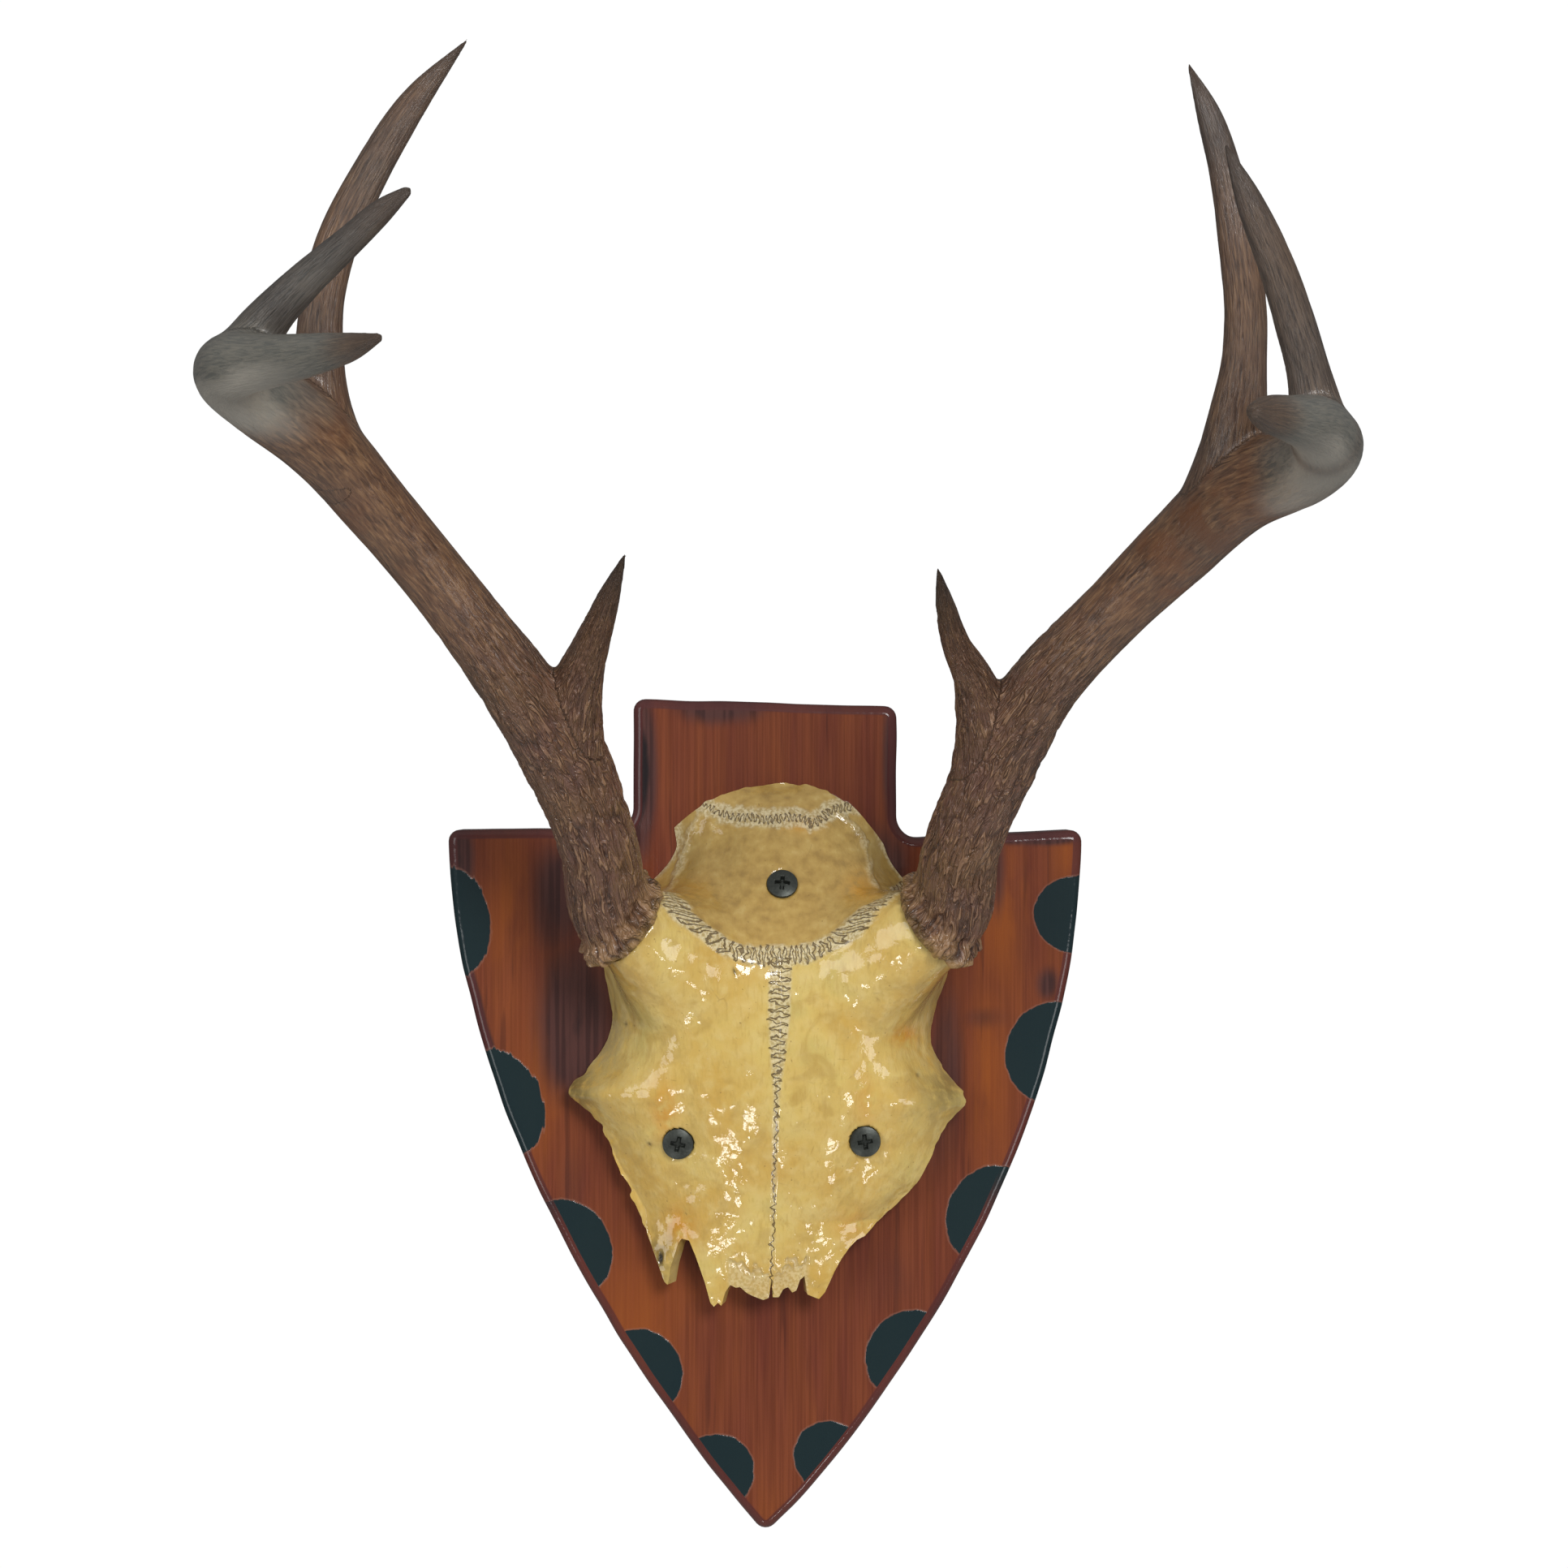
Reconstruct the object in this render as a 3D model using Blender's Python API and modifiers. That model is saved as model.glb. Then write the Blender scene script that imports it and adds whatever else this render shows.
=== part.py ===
"""Antler mounting plaque: a deer's skull cap and antlers, screwed to an arrowhead-shaped pine board.

Metres, +Z up. The origin is the middle of the board's back face, which lies in the plane y = 0 against
the wall, and the plaque stands out from the wall along -Y. The skull cap is modelled in its own frame: x
across, y out from the board's front (negative) and z down from the nape. The antlers sit on its pedicles.
"""

import math

import bmesh
import bpy
import numpy as np
from mathutils import Matrix, Vector

COLLECTION_NAME = "antler_mounting_plaque"

# Gap that touching pieces keep
CONTACT_GAP = 0.0003

# Board
BOARD_WIDTH = 0.185
BOARD_HEIGHT = 0.242
BOARD_THICKNESS = 0.019
STEM_WIDTH = 0.077
STEM_HEIGHT = 0.038
STEM_SLANT = 0.0022
SHOULDER_SLANT = 0.0026
LEFT_SIDE_BOW = 1.85
LEFT_SIDE_FULLNESS = 0.99
RIGHT_SIDE_BOW = 1.96
RIGHT_SIDE_FULLNESS = 0.95
SIDE_POINTS = 14
TIP_LENGTH = 0.0082
CORNER_RADIUS = 0.0036
FILLET_RADIUS = 0.0060
TIP_RADIUS = 0.0040
EDGE_ROUNDING = 0.0027
EDGE_ROUNDING_STEPS = 3
ARC_CHORDS = 4

# Skull cap: its place on the board, its size, and the thickness of the bone
SKULL_NAPE_HEIGHT = 0.0958
SKULL_LENGTH = 0.1505
SKULL_HALF_SPAN = 0.0570
SKULL_PEAK = 0.0325
BONE_THICKNESS = 0.0042
MIDLINE_AT_NAPE = 0.0058
MIDLINE_DRIFT = -0.0043
SKULL_COLUMNS = 30
SKULL_ROWS = 23

# Skull outline: (share of the length down from the nape, share of the half span out from the midline).
# The corner at the nape comes first, then the pedicle's flank, the temple, the process behind the eye
# socket, the socket's rim and the corner where the broken nose end starts.
LEFT_OUTLINE = (
    (0.083, 0.556), (0.122, 0.545), (0.177, 0.640), (0.223, 0.790), (0.286, 0.880), (0.341, 0.900),
    (0.411, 0.862), (0.458, 0.846), (0.505, 0.883), (0.545, 0.960), (0.594, 1.050), (0.612, 0.990),
    (0.640, 0.912), (0.692, 0.828), (0.739, 0.762), (0.778, 0.698), (0.817, 0.640),
)
RIGHT_OUTLINE = (
    (0.114, 0.512), (0.145, 0.545), (0.190, 0.640), (0.235, 0.770), (0.300, 0.850), (0.364, 0.858),
    (0.427, 0.805), (0.505, 0.790), (0.552, 0.862), (0.614, 0.962), (0.632, 0.910), (0.665, 0.850),
    (0.708, 0.800), (0.762, 0.727), (0.800, 0.640), (0.833, 0.545),
)
NAPE_ARCH = 2.5

# The nose end would run as an even arch. What is broken, from NOSE_BREAK of the way down, follows its own
# line: (place across, -1 at the left corner and 1 at the right, share of the length). It holds the
# splinter by the left socket, the long fang, the slit on the midline and the short teeth.
NOSE_ARCH = 1.5
NOSE_ARCH_SHARE = 0.965
NOSE_BREAK = 0.78
NOSE_END = (
    (-1.00, 0.817), (-0.94, 0.872), (-0.88, 0.925), (-0.83, 0.958), (-0.77, 0.900), (-0.71, 0.862),
    (-0.59, 0.872), (-0.52, 0.905), (-0.47, 0.965), (-0.42, 1.000), (-0.36, 0.968), (-0.30, 0.955),
    (-0.18, 0.972), (-0.06, 0.984), (0.00, 0.955), (0.06, 0.984), (0.18, 0.962), (0.29, 0.972),
    (0.41, 0.984), (0.52, 0.958), (0.64, 0.927), (0.76, 0.890), (0.88, 0.858), (1.00, 0.833),
)

# Skull relief: (share of the length, share of the peak) along the midline and along the rim, and the
# squareness of the section between them
MIDLINE_RISE = (
    (0.00, 0.05), (0.03, 0.20), (0.10, 0.41), (0.19, 0.61), (0.30, 0.90), (0.36, 1.00), (0.45, 1.00),
    (0.60, 0.89), (0.69, 0.77), (0.83, 0.57), (1.00, 0.37),
)
RIM_RISE = (
    (0.00, 0.00), (0.44, 0.00), (0.53, 0.10), (0.60, 0.25), (0.70, 0.27), (0.82, 0.24), (1.00, 0.29),
)
SECTION_SQUARENESS = ((0.00, 2.2), (0.16, 2.8), (0.28, 4.8), (0.38, 4.6), (0.60, 3.8), (0.80, 2.8), (1.00, 2.2))

# Furrows above the eye sockets, each an open gutter that a screw sits in
FURROW_DEPTH = 0.0024
FURROW_WIDTH = 0.0055
FURROW_SPAN = 0.0530
FURROW_MIDDLE = 0.68
FURROW_REACH = 0.11

# Swellings of the forehead that carry the pedicles
BOSS_RISE = 0.0160
BOSS_SPREAD = 0.0150
BOSS_SPAN = 0.0800
BOSS_MIDDLE = 0.295

# Pedicles: where each burr sits on the skull, its direction, and the bone's girth
SEAT_SPAN = 0.0847
SEAT_DROP = 0.0398
SEAT_RISE = 0.0335
SEAT_DIRECTION = (0.70, 0.45, 0.55)
PEDICLE_RADIUS = 0.0122
PEDICLE_ROOT_RADIUS = 0.0080
PEDICLE_LENGTH = 0.0220
PEDICLE_RINGS = 4
SEAT_RELIEF_RADIUS = 0.0168
SEAT_RELIEF_LENGTH = 0.0160

# Antlers: height from the left burr's seat to the highest tip, the right antler's share of it, girth of
# the beam, and the burr
ANTLER_HEIGHT = 0.226
RIGHT_ANTLER_SHARE = 0.9735
BEAM_RADIUS = 0.0090
BURR_RADIUS = 0.0118
BURR_THICKNESS = 0.0070
BURR_LOBES = 9
BURR_LOBE_DEPTH = 0.22
BEAM_RINGS = 37
TINE_RINGS = 12
TUBE_ROUNDNESS = 4

# Antler forms: stations (outwards from the midline, out from the wall, up) in hundredths of the antler's
# height from its seat, with the girth as a share of the beam's radius
LEFT_ANTLER = {
    "beam": (
        (0.0, 0.0, 0.0, 1.42), (2.0, 2.2, 2.6, 1.34), (3.6, 8.4, 10.4, 1.24), (7.5, 16.6, 21.4, 1.34),
        (12.1, 24.5, 29.0, 1.16), (20.1, 32.9, 40.2, 1.00), (27.0, 41.3, 49.0, 1.02),
        (33.0, 49.7, 56.2, 1.12), (38.2, 57.7, 60.1, 1.12), (40.1, 65.2, 61.6, 1.04),
        (38.6, 72.9, 61.8, 0.92), (34.2, 80.7, 61.3, 0.74), (27.4, 91.8, 60.9, 0.54),
        (23.1, 99.0, 60.8, 0.36), (20.1, 103.5, 61.1, 0.14),
    ),
    "brow": (
        (6.2, 14.2, 17.5, 1.10), (6.3, 18.9, 24.0, 1.02), (5.5, 23.2, 28.6, 0.84), (3.4, 28.9, 33.7, 0.58),
        (1.2, 34.7, 38.7, 0.38), (-1.1, 40.9, 43.7, 0.08),
    ),
    "second": (
        (30.6, 46.0, 52.8, 1.00), (32.6, 48.9, 60.5, 0.86), (32.6, 50.0, 66.0, 0.72),
        (32.2, 51.1, 70.1, 0.65), (30.5, 52.4, 77.1, 0.62), (26.5, 53.7, 85.1, 0.55),
        (21.4, 54.6, 93.0, 0.43), (15.6, 55.5, 99.5, 0.07),
    ),
    "third": (
        (38.4, 70.4, 62.5, 0.90), (34.4, 75.0, 66.9, 0.62), (30.5, 77.2, 70.3, 0.52),
        (25.9, 79.8, 73.8, 0.43), (21.8, 81.9, 77.0, 0.33), (19.3, 82.9, 78.7, 0.16),
    ),
}
RIGHT_ANTLER = {
    "beam": (
        (0.0, 0.0, 0.0, 1.42), (2.0, 2.2, 2.6, 1.34), (3.4, 8.9, 10.0, 1.20), (7.7, 17.1, 21.2, 1.24),
        (12.6, 25.2, 30.1, 1.09), (20.4, 32.5, 38.7, 1.01), (27.3, 39.8, 45.7, 1.12),
        (33.6, 48.0, 51.7, 1.20), (39.7, 57.1, 54.2, 1.16), (40.9, 66.5, 55.2, 1.04),
        (39.7, 74.5, 55.7, 0.94), (37.7, 82.1, 56.2, 0.82), (33.4, 93.5, 55.9, 0.62),
        (29.8, 101.1, 55.7, 0.44), (28.2, 104.4, 55.6, 0.22),
    ),
    "brow": (
        (5.4, 13.0, 16.0, 1.10), (6.0, 18.0, 22.5, 1.00), (5.2, 22.5, 27.5, 0.82), (4.0, 26.0, 31.0, 0.62),
        (1.9, 29.8, 34.6, 0.46), (0.3, 35.3, 39.1, 0.32), (-0.9, 41.2, 43.3, 0.08),
    ),
    "second": (
        (30.5, 44.0, 49.0, 1.08), (32.6, 47.5, 55.5, 1.00), (33.3, 50.0, 61.0, 0.84),
        (33.7, 51.5, 66.0, 0.68), (33.8, 52.5, 71.4, 0.63), (32.8, 53.9, 79.6, 0.59),
        (31.2, 54.8, 87.8, 0.49), (29.2, 55.7, 94.1, 0.37), (26.8, 56.6, 99.6, 0.07),
    ),
    "third": (
        (39.4, 73.5, 56.0, 0.90), (37.9, 75.3, 62.3, 0.62), (36.1, 77.1, 67.8, 0.57),
        (34.2, 78.9, 72.8, 0.52), (30.6, 81.2, 80.5, 0.38), (27.9, 83.0, 86.0, 0.08),
    ),
}

# Screws: (place across, drop from the nape, tilt of the head up from facing straight out in degrees)
SCREWS = {
    "screw_top": (0.0051, 0.0285, 30.0),
    "screw_lower_left": (-0.0246, 0.1023, -5.0),
    "screw_lower_right": (0.0287, 0.1016, -5.0),
}
SCREW_LENGTH = 0.0320
SCREW_HEAD_RADIUS = 0.00445
SCREW_HEAD_DOME = 0.0007
SCREW_HEAD_EDGE = 0.0006
SCREW_HEAD_CONE = 0.0026
SCREW_SHANK_RADIUS = 0.0019
SCREW_POINT_LENGTH = 0.0060
SCREW_PROUD = 0.0008
SCREW_CLEARANCE = 0.0003
SCREW_STEPS = 16
RECESS_SPAN = 0.0046
RECESS_WIDTH = 0.0011
RECESS_DEPTH = 0.0020

# Name: (red, green, blue), roughness, metallic
MATERIALS = {
    "varnished pine": ((0.185, 0.058, 0.030), 0.30, 0.0),
    "varnished bone": ((0.740, 0.560, 0.240), 0.30, 0.0),
    "antler": ((0.150, 0.095, 0.060), 0.50, 0.0),
    "black oxide steel": ((0.030, 0.035, 0.034), 0.35, 0.8),
}


def empty_scene():
    """Remove what the scene holds and return the collections for the parts and the cutters."""
    for scene_object in list(bpy.data.objects):
        bpy.data.objects.remove(scene_object, do_unlink=True)
    collections = []
    for name in (COLLECTION_NAME, "cutters"):
        collection = bpy.data.collections.new(name)
        bpy.context.scene.collection.children.link(collection)
        collections.append(collection)
    return collections


def make_material(name):
    colour, roughness, metallic = MATERIALS[name]
    material = bpy.data.materials.new(name)
    material.use_nodes = True
    shader = material.node_tree.nodes["Principled BSDF"]
    shader.inputs["Base Color"].default_value = (*colour, 1.0)
    shader.inputs["Roughness"].default_value = roughness
    shader.inputs["Metallic"].default_value = metallic
    return material


def smooth_through(knots, values, at):
    """Cubic curve through the values, its tangents those of the parabolas through each value's neighbours."""
    knots = np.asarray(knots, float)
    values = np.asarray(values, float)
    at = np.clip(np.asarray(at, float), knots[0], knots[-1])
    gaps = np.diff(knots)
    wide = gaps.reshape(-1, *[1] * (values.ndim - 1))
    slopes = np.diff(values, axis=0) / wide
    inner = (slopes[:-1] * wide[1:] + slopes[1:] * wide[:-1]) / (wide[:-1] + wide[1:])
    tangents = np.concatenate([slopes[:1], inner, slopes[-1:]])
    index = np.clip(np.searchsorted(knots, at, side="right") - 1, 0, len(gaps) - 1)
    share = (at - knots[index]) / gaps[index]
    gap = gaps[index]
    if values.ndim > 1:
        share = share[..., None]
        gap = gap[..., None]
    start = (1 + 2 * share) * (1 - share) ** 2 * values[index]
    end = share**2 * (3 - 2 * share) * values[index + 1]
    leaving = share * (1 - share) ** 2 * gap * tangents[index]
    arriving = share**2 * (share - 1) * gap * tangents[index + 1]
    return start + end + leaving + arriving


def read_table(table, at):
    places, values = np.array(table).T
    return smooth_through(places, values, at)


# Board


def arc_at(corner, before, after, radius):
    """Points that round a corner with an arc tangent to the lines to the points before and after it."""
    corner = Vector(corner)
    towards_before = (Vector(before) - corner).normalized()
    towards_after = (Vector(after) - corner).normalized()
    half_angle = towards_before.angle(towards_after) / 2
    middle = (towards_before + towards_after).normalized()
    centre = corner + middle * radius / math.sin(half_angle)
    start = corner + towards_before * radius / math.tan(half_angle) - centre
    end = corner + towards_after * radius / math.tan(half_angle) - centre
    swing = math.remainder(math.atan2(end.y, end.x) - math.atan2(start.y, start.x), math.tau)
    return [
        centre + Matrix.Rotation(swing * chord / ARC_CHORDS, 2) @ start
        for chord in range(ARC_CHORDS + 1)
    ]


def board_side(share, bow, fullness):
    """Half width of the blade at a share of the way to the tip."""
    return (1 - share**bow) ** fullness * BOARD_WIDTH / 2


def board_outline():
    """Clockwise outline from the stem's top left: stem, shoulder, bowed side, tip and back up the left."""
    top = BOARD_HEIGHT / 2
    shoulder = top - STEM_HEIGHT
    blade = shoulder + BOARD_HEIGHT / 2
    side_end = 1 - TIP_LENGTH / blade
    left_end = board_side(side_end, LEFT_SIDE_BOW, LEFT_SIDE_FULLNESS)
    right_end = board_side(side_end, RIGHT_SIDE_BOW, RIGHT_SIDE_FULLNESS)
    tip_half_angle = math.atan((left_end + right_end) / 2 / TIP_LENGTH)
    overshoot = TIP_RADIUS * (1 / math.sin(tip_half_angle) - 1)
    blade = blade + overshoot
    right_side = []
    left_side = []
    for step in range(1, SIDE_POINTS + 1):
        share = side_end * step / SIDE_POINTS
        z = shoulder - share * blade
        right_side.append((board_side(share, RIGHT_SIDE_BOW, RIGHT_SIDE_FULLNESS), z, 0.0))
        left_side.append((-board_side(share, LEFT_SIDE_BOW, LEFT_SIDE_FULLNESS), z, 0.0))
    right = [
        (STEM_WIDTH / 2, top - STEM_SLANT, CORNER_RADIUS),
        (STEM_WIDTH / 2, shoulder - SHOULDER_SLANT, FILLET_RADIUS),
        (BOARD_WIDTH / 2, shoulder, CORNER_RADIUS),
        *right_side,
    ]
    left = [
        *reversed(left_side),
        (-BOARD_WIDTH / 2, shoulder, CORNER_RADIUS),
        (-STEM_WIDTH / 2, shoulder, FILLET_RADIUS),
        (-STEM_WIDTH / 2, top, CORNER_RADIUS),
    ]
    corners = [*right, (0.0, shoulder - blade, TIP_RADIUS), *left]
    outline = []
    for index, (x, z, radius) in enumerate(corners):
        if radius == 0.0:
            outline.append(Vector((x, z)))
            continue
        before = corners[index - 1][:2]
        after = corners[(index + 1) % len(corners)][:2]
        outline.extend(arc_at((x, z), before, after, radius))
    return outline


def mesh_from_curve(curve_object, collection):
    """Turn a curve into a mesh with its caps welded on, in the curve's place, and remove the curve."""
    dependencies = bpy.context.evaluated_depsgraph_get()
    mesh = bpy.data.meshes.new_from_object(curve_object.evaluated_get(dependencies))
    welded = bmesh.new()
    welded.from_mesh(mesh)
    bmesh.ops.remove_doubles(welded, verts=welded.verts, dist=1e-6)
    bmesh.ops.recalc_face_normals(welded, faces=welded.faces)
    welded.to_mesh(mesh)
    welded.free()
    mesh_object = bpy.data.objects.new(curve_object.name, mesh)
    mesh_object.matrix_world = curve_object.matrix_world
    collection.objects.link(mesh_object)
    curve = curve_object.data
    bpy.data.objects.remove(curve_object, do_unlink=True)
    bpy.data.curves.remove(curve)
    return mesh_object


def round_front_edge(board):
    """Round the edge between the front face and the sides. The outline's curve faces along local +Z."""
    shape = bmesh.new()
    shape.from_mesh(board.data)
    bmesh.ops.dissolve_limit(shape, angle_limit=0.01, verts=shape.verts, edges=shape.edges)
    front = max(vertex.co.z for vertex in shape.verts)
    rim = [
        edge
        for edge in shape.edges
        if all(abs(vertex.co.z - front) < 1e-5 for vertex in edge.verts)
        and any(abs(face.normal.z) < 0.5 for face in edge.link_faces)
    ]
    bmesh.ops.bevel(
        shape,
        geom=rim,
        offset=EDGE_ROUNDING,
        segments=EDGE_ROUNDING_STEPS,
        profile=0.5,
        affect="EDGES",
        clamp_overlap=False,
    )
    shape.to_mesh(board.data)
    shape.free()


def make_board(parts):
    curve = bpy.data.curves.new("plaque_board_outline", "CURVE")
    curve.dimensions = "2D"
    curve.fill_mode = "BOTH"
    curve.extrude = BOARD_THICKNESS / 2
    outline = board_outline()
    spline = curve.splines.new("POLY")
    spline.points.add(len(outline) - 1)
    for point, place in zip(spline.points, outline):
        point.co = (place.x, place.y, 0.0, 1.0)
    spline.use_cyclic_u = True
    outline_object = bpy.data.objects.new("plaque_board", curve)
    outline_object.location = (0.0, -BOARD_THICKNESS / 2, 0.0)
    outline_object.rotation_euler = (math.radians(90.0), 0.0, 0.0)
    parts.objects.link(outline_object)
    bpy.context.view_layer.update()
    board = mesh_from_curve(outline_object, parts)
    board.name = "plaque_board"
    round_front_edge(board)
    board.data.materials.append(make_material("varnished pine"))
    board.data.shade_smooth()
    board.data.set_sharp_from_angle(angle=math.radians(30.0))
    return board


# Skull cap, in its own frame


def midline_at(share):
    return MIDLINE_AT_NAPE + MIDLINE_DRIFT * share


def skull_height(x, z):
    """Height of the bone's outer face over the board: an arched section between the midline's rise and the
    rim's, with a furrow and a swelling on each side that fade out at the rim."""
    share = -z / SKULL_LENGTH
    across = x - midline_at(share)
    left_width = read_table(LEFT_OUTLINE, share)
    right_width = read_table(RIGHT_OUTLINE, share)
    half_width = np.where(across < 0, left_width, right_width) * SKULL_HALF_SPAN
    place = np.clip(np.abs(across) / half_width, 0.0, 1.0)
    arch = 1 - place ** read_table(SECTION_SQUARENESS, share)
    middle = read_table(MIDLINE_RISE, share) * SKULL_PEAK
    rim = np.maximum(read_table(RIM_RISE, share), 0.0) * SKULL_PEAK
    from_furrow = (np.abs(across) - FURROW_SPAN / 2) / FURROW_WIDTH
    along_furrow = (share - FURROW_MIDDLE) / FURROW_REACH
    furrow = FURROW_DEPTH * np.exp(-(from_furrow**2) - along_furrow**2)
    from_boss = (np.abs(across) - BOSS_SPAN / 2) / BOSS_SPREAD
    along_boss = (share - BOSS_MIDDLE) * SKULL_LENGTH / BOSS_SPREAD
    boss = BOSS_RISE * np.exp(-(from_boss**2) - along_boss**2)
    return CONTACT_GAP + rim + (middle - rim + boss - furrow) * arch


def skull_plan(u, v):
    """Place across and down for u from the left edge to the right (-1 to 1) and v from nape to nose."""
    left = np.array(LEFT_OUTLINE)
    right = np.array(RIGHT_OUTLINE)
    corner = np.where(u < 0, left[0, 0], right[0, 0])
    top = corner * np.abs(u) ** NAPE_ARCH
    nose_places, nose_shares = np.array(NOSE_END).T
    side_corner = np.where(u < 0, left[-1, 0], right[-1, 0])
    arch = side_corner + (NOSE_ARCH_SHARE - side_corner) * (1 - np.abs(u) ** NOSE_ARCH)
    broken = np.interp(u, nose_places, nose_shares) - arch
    share = top + (arch - top) * v + broken * np.clip((v - NOSE_BREAK) / (1 - NOSE_BREAK), 0.0, 1.0)
    left_share = left[0, 0] + (left[-1, 0] - left[0, 0]) * v
    right_share = right[0, 0] + (right[-1, 0] - right[0, 0]) * v
    left_edge = midline_at(left_share) - read_table(left, left_share) * SKULL_HALF_SPAN
    right_edge = midline_at(right_share) + read_table(right, right_share) * SKULL_HALF_SPAN
    side_edge = np.where(u < 0, left_edge, right_edge)
    x = midline_at(share) * (1 - np.abs(u)) + side_edge * np.abs(u)
    return x, -share * SKULL_LENGTH


def skull_shell(parts):
    """Closed shell: the outer face, the inner face drawn in and lowered by the bone's thickness but never
    past the board's face, and a rim between them."""
    columns = SKULL_COLUMNS + 1
    rows = SKULL_ROWS + 1
    u, v = np.meshgrid(np.linspace(-1, 1, columns), np.linspace(0, 1, rows))
    x, z = skull_plan(u, v)
    height = skull_height(x, z)
    midline = midline_at(-z / SKULL_LENGTH)
    inner_x = midline + (x - midline) * (1 - BONE_THICKNESS / SKULL_HALF_SPAN)
    inner_height = np.maximum(height - BONE_THICKNESS, CONTACT_GAP)
    outer = np.stack([x, -height, z], axis=-1)
    inner = np.stack([inner_x, -inner_height, z], axis=-1)
    points = np.concatenate([outer.reshape(-1, 3), inner.reshape(-1, 3)])
    count = rows * columns
    grid = np.arange(count).reshape(rows, columns)
    front = np.stack([grid[:-1, :-1], grid[1:, :-1], grid[1:, 1:], grid[:-1, 1:]], axis=-1).reshape(-1, 4)
    back = front[:, ::-1] + count
    border = np.concatenate([grid[0, :-1], grid[:-1, -1], grid[-1, :0:-1], grid[:0:-1, 0]])
    after = np.roll(border, -1)
    rim = np.stack([border, after, after + count, border + count], axis=-1)
    mesh = bpy.data.meshes.new("skull_cap")
    mesh.from_pydata(points.tolist(), [], np.concatenate([front, back, rim]).tolist())
    skull = bpy.data.objects.new("skull_cap", mesh)
    parts.objects.link(skull)
    return skull


def seat_of(side):
    """Middle of a burr's seat and the way it faces, in the skull's frame; side is -1 left and 1 right."""
    outwards, out, up = SEAT_DIRECTION
    direction = Vector((side * outwards, -out, up)).normalized()
    across = midline_at(SEAT_DROP / SKULL_LENGTH) + side * SEAT_SPAN / 2
    return Vector((across, -SEAT_RISE, -SEAT_DROP)), direction


def make_tube(name, points, radii, collection):
    """Round tube along the points, with a radius at each and flat caps."""
    curve = bpy.data.curves.new(name, "CURVE")
    curve.dimensions = "3D"
    curve.bevel_depth = 1.0
    curve.bevel_resolution = TUBE_ROUNDNESS
    curve.use_fill_caps = True
    spline = curve.splines.new("POLY")
    spline.points.add(len(points) - 1)
    homogeneous = np.column_stack([points, np.ones(len(points))])
    spline.points.foreach_set("co", homogeneous.ravel())
    spline.points.foreach_set("radius", np.asarray(radii, float))
    tube = bpy.data.objects.new(name, curve)
    collection.objects.link(tube)
    bpy.context.view_layer.update()
    return mesh_from_curve(tube, collection)


def hide_as_cutter(cutter):
    cutter.hide_render = True
    cutter.display_type = "WIRE"
    return cutter


def combine(target, operand, operation):
    modifier = target.modifiers.new(f"{operation.lower()} {operand.name}", "BOOLEAN")
    modifier.operation = operation
    modifier.solver = "EXACT"
    modifier.object = operand


def make_pedicle(side, cutters):
    """Stub of bone from inside the forehead's swelling to just past the burr's seat, which the relief cuts."""
    seat, direction = seat_of(side)
    side_name = "left" if side < 0 else "right"
    distances = np.linspace(-PEDICLE_LENGTH, SEAT_RELIEF_LENGTH / 8, PEDICLE_RINGS)
    points = [seat + direction * distance for distance in distances]
    radii = np.interp(distances, [-PEDICLE_LENGTH, 0.0], [PEDICLE_ROOT_RADIUS, PEDICLE_RADIUS])
    return hide_as_cutter(make_tube(f"pedicle_{side_name}", points, radii, cutters))


def make_seat_relief(side, cutters):
    """Round cut over a burr's seat, so the forehead's swelling stays clear of the burr."""
    seat, direction = seat_of(side)
    side_name = "left" if side < 0 else "right"
    points = [seat, seat + direction * SEAT_RELIEF_LENGTH]
    return hide_as_cutter(make_tube(f"seat_relief_{side_name}", points, [SEAT_RELIEF_RADIUS] * 2, cutters))


def make_skull(parts, cutters):
    skull = skull_shell(parts)
    skull.location = (0.0, -BOARD_THICKNESS, SKULL_NAPE_HEIGHT)
    for side in (-1, 1):
        pedicle = make_pedicle(side, cutters)
        relief = make_seat_relief(side, cutters)
        pedicle.parent = skull
        relief.parent = skull
        combine(skull, pedicle, "UNION")
        combine(skull, relief, "DIFFERENCE")
    skull.data.materials.append(make_material("varnished bone"))
    skull.data.shade_smooth()
    return skull


# Antlers, in the frame of their seat on the skull


def antler_tube(name, stations, side, height, rings, collection, lead=None):
    """Tube through the stations of a beam or tine. A lead point after the first squares its end to it."""
    stations = np.array(stations)
    places = stations[:, :3] * height / 100 * np.array([side, -1, 1])
    knots = np.concatenate([[0.0], np.cumsum(np.linalg.norm(np.diff(places, axis=0), axis=1))])
    at = np.linspace(0.0, knots[-1], rings)
    points = smooth_through(knots, places, at)
    radii = smooth_through(knots, stations[:, 3], at) * BEAM_RADIUS
    if lead is not None:
        points = np.insert(points, 1, lead, axis=0)
        radii = np.insert(radii, 1, radii[0])
    return make_tube(name, points, radii, collection)


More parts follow.
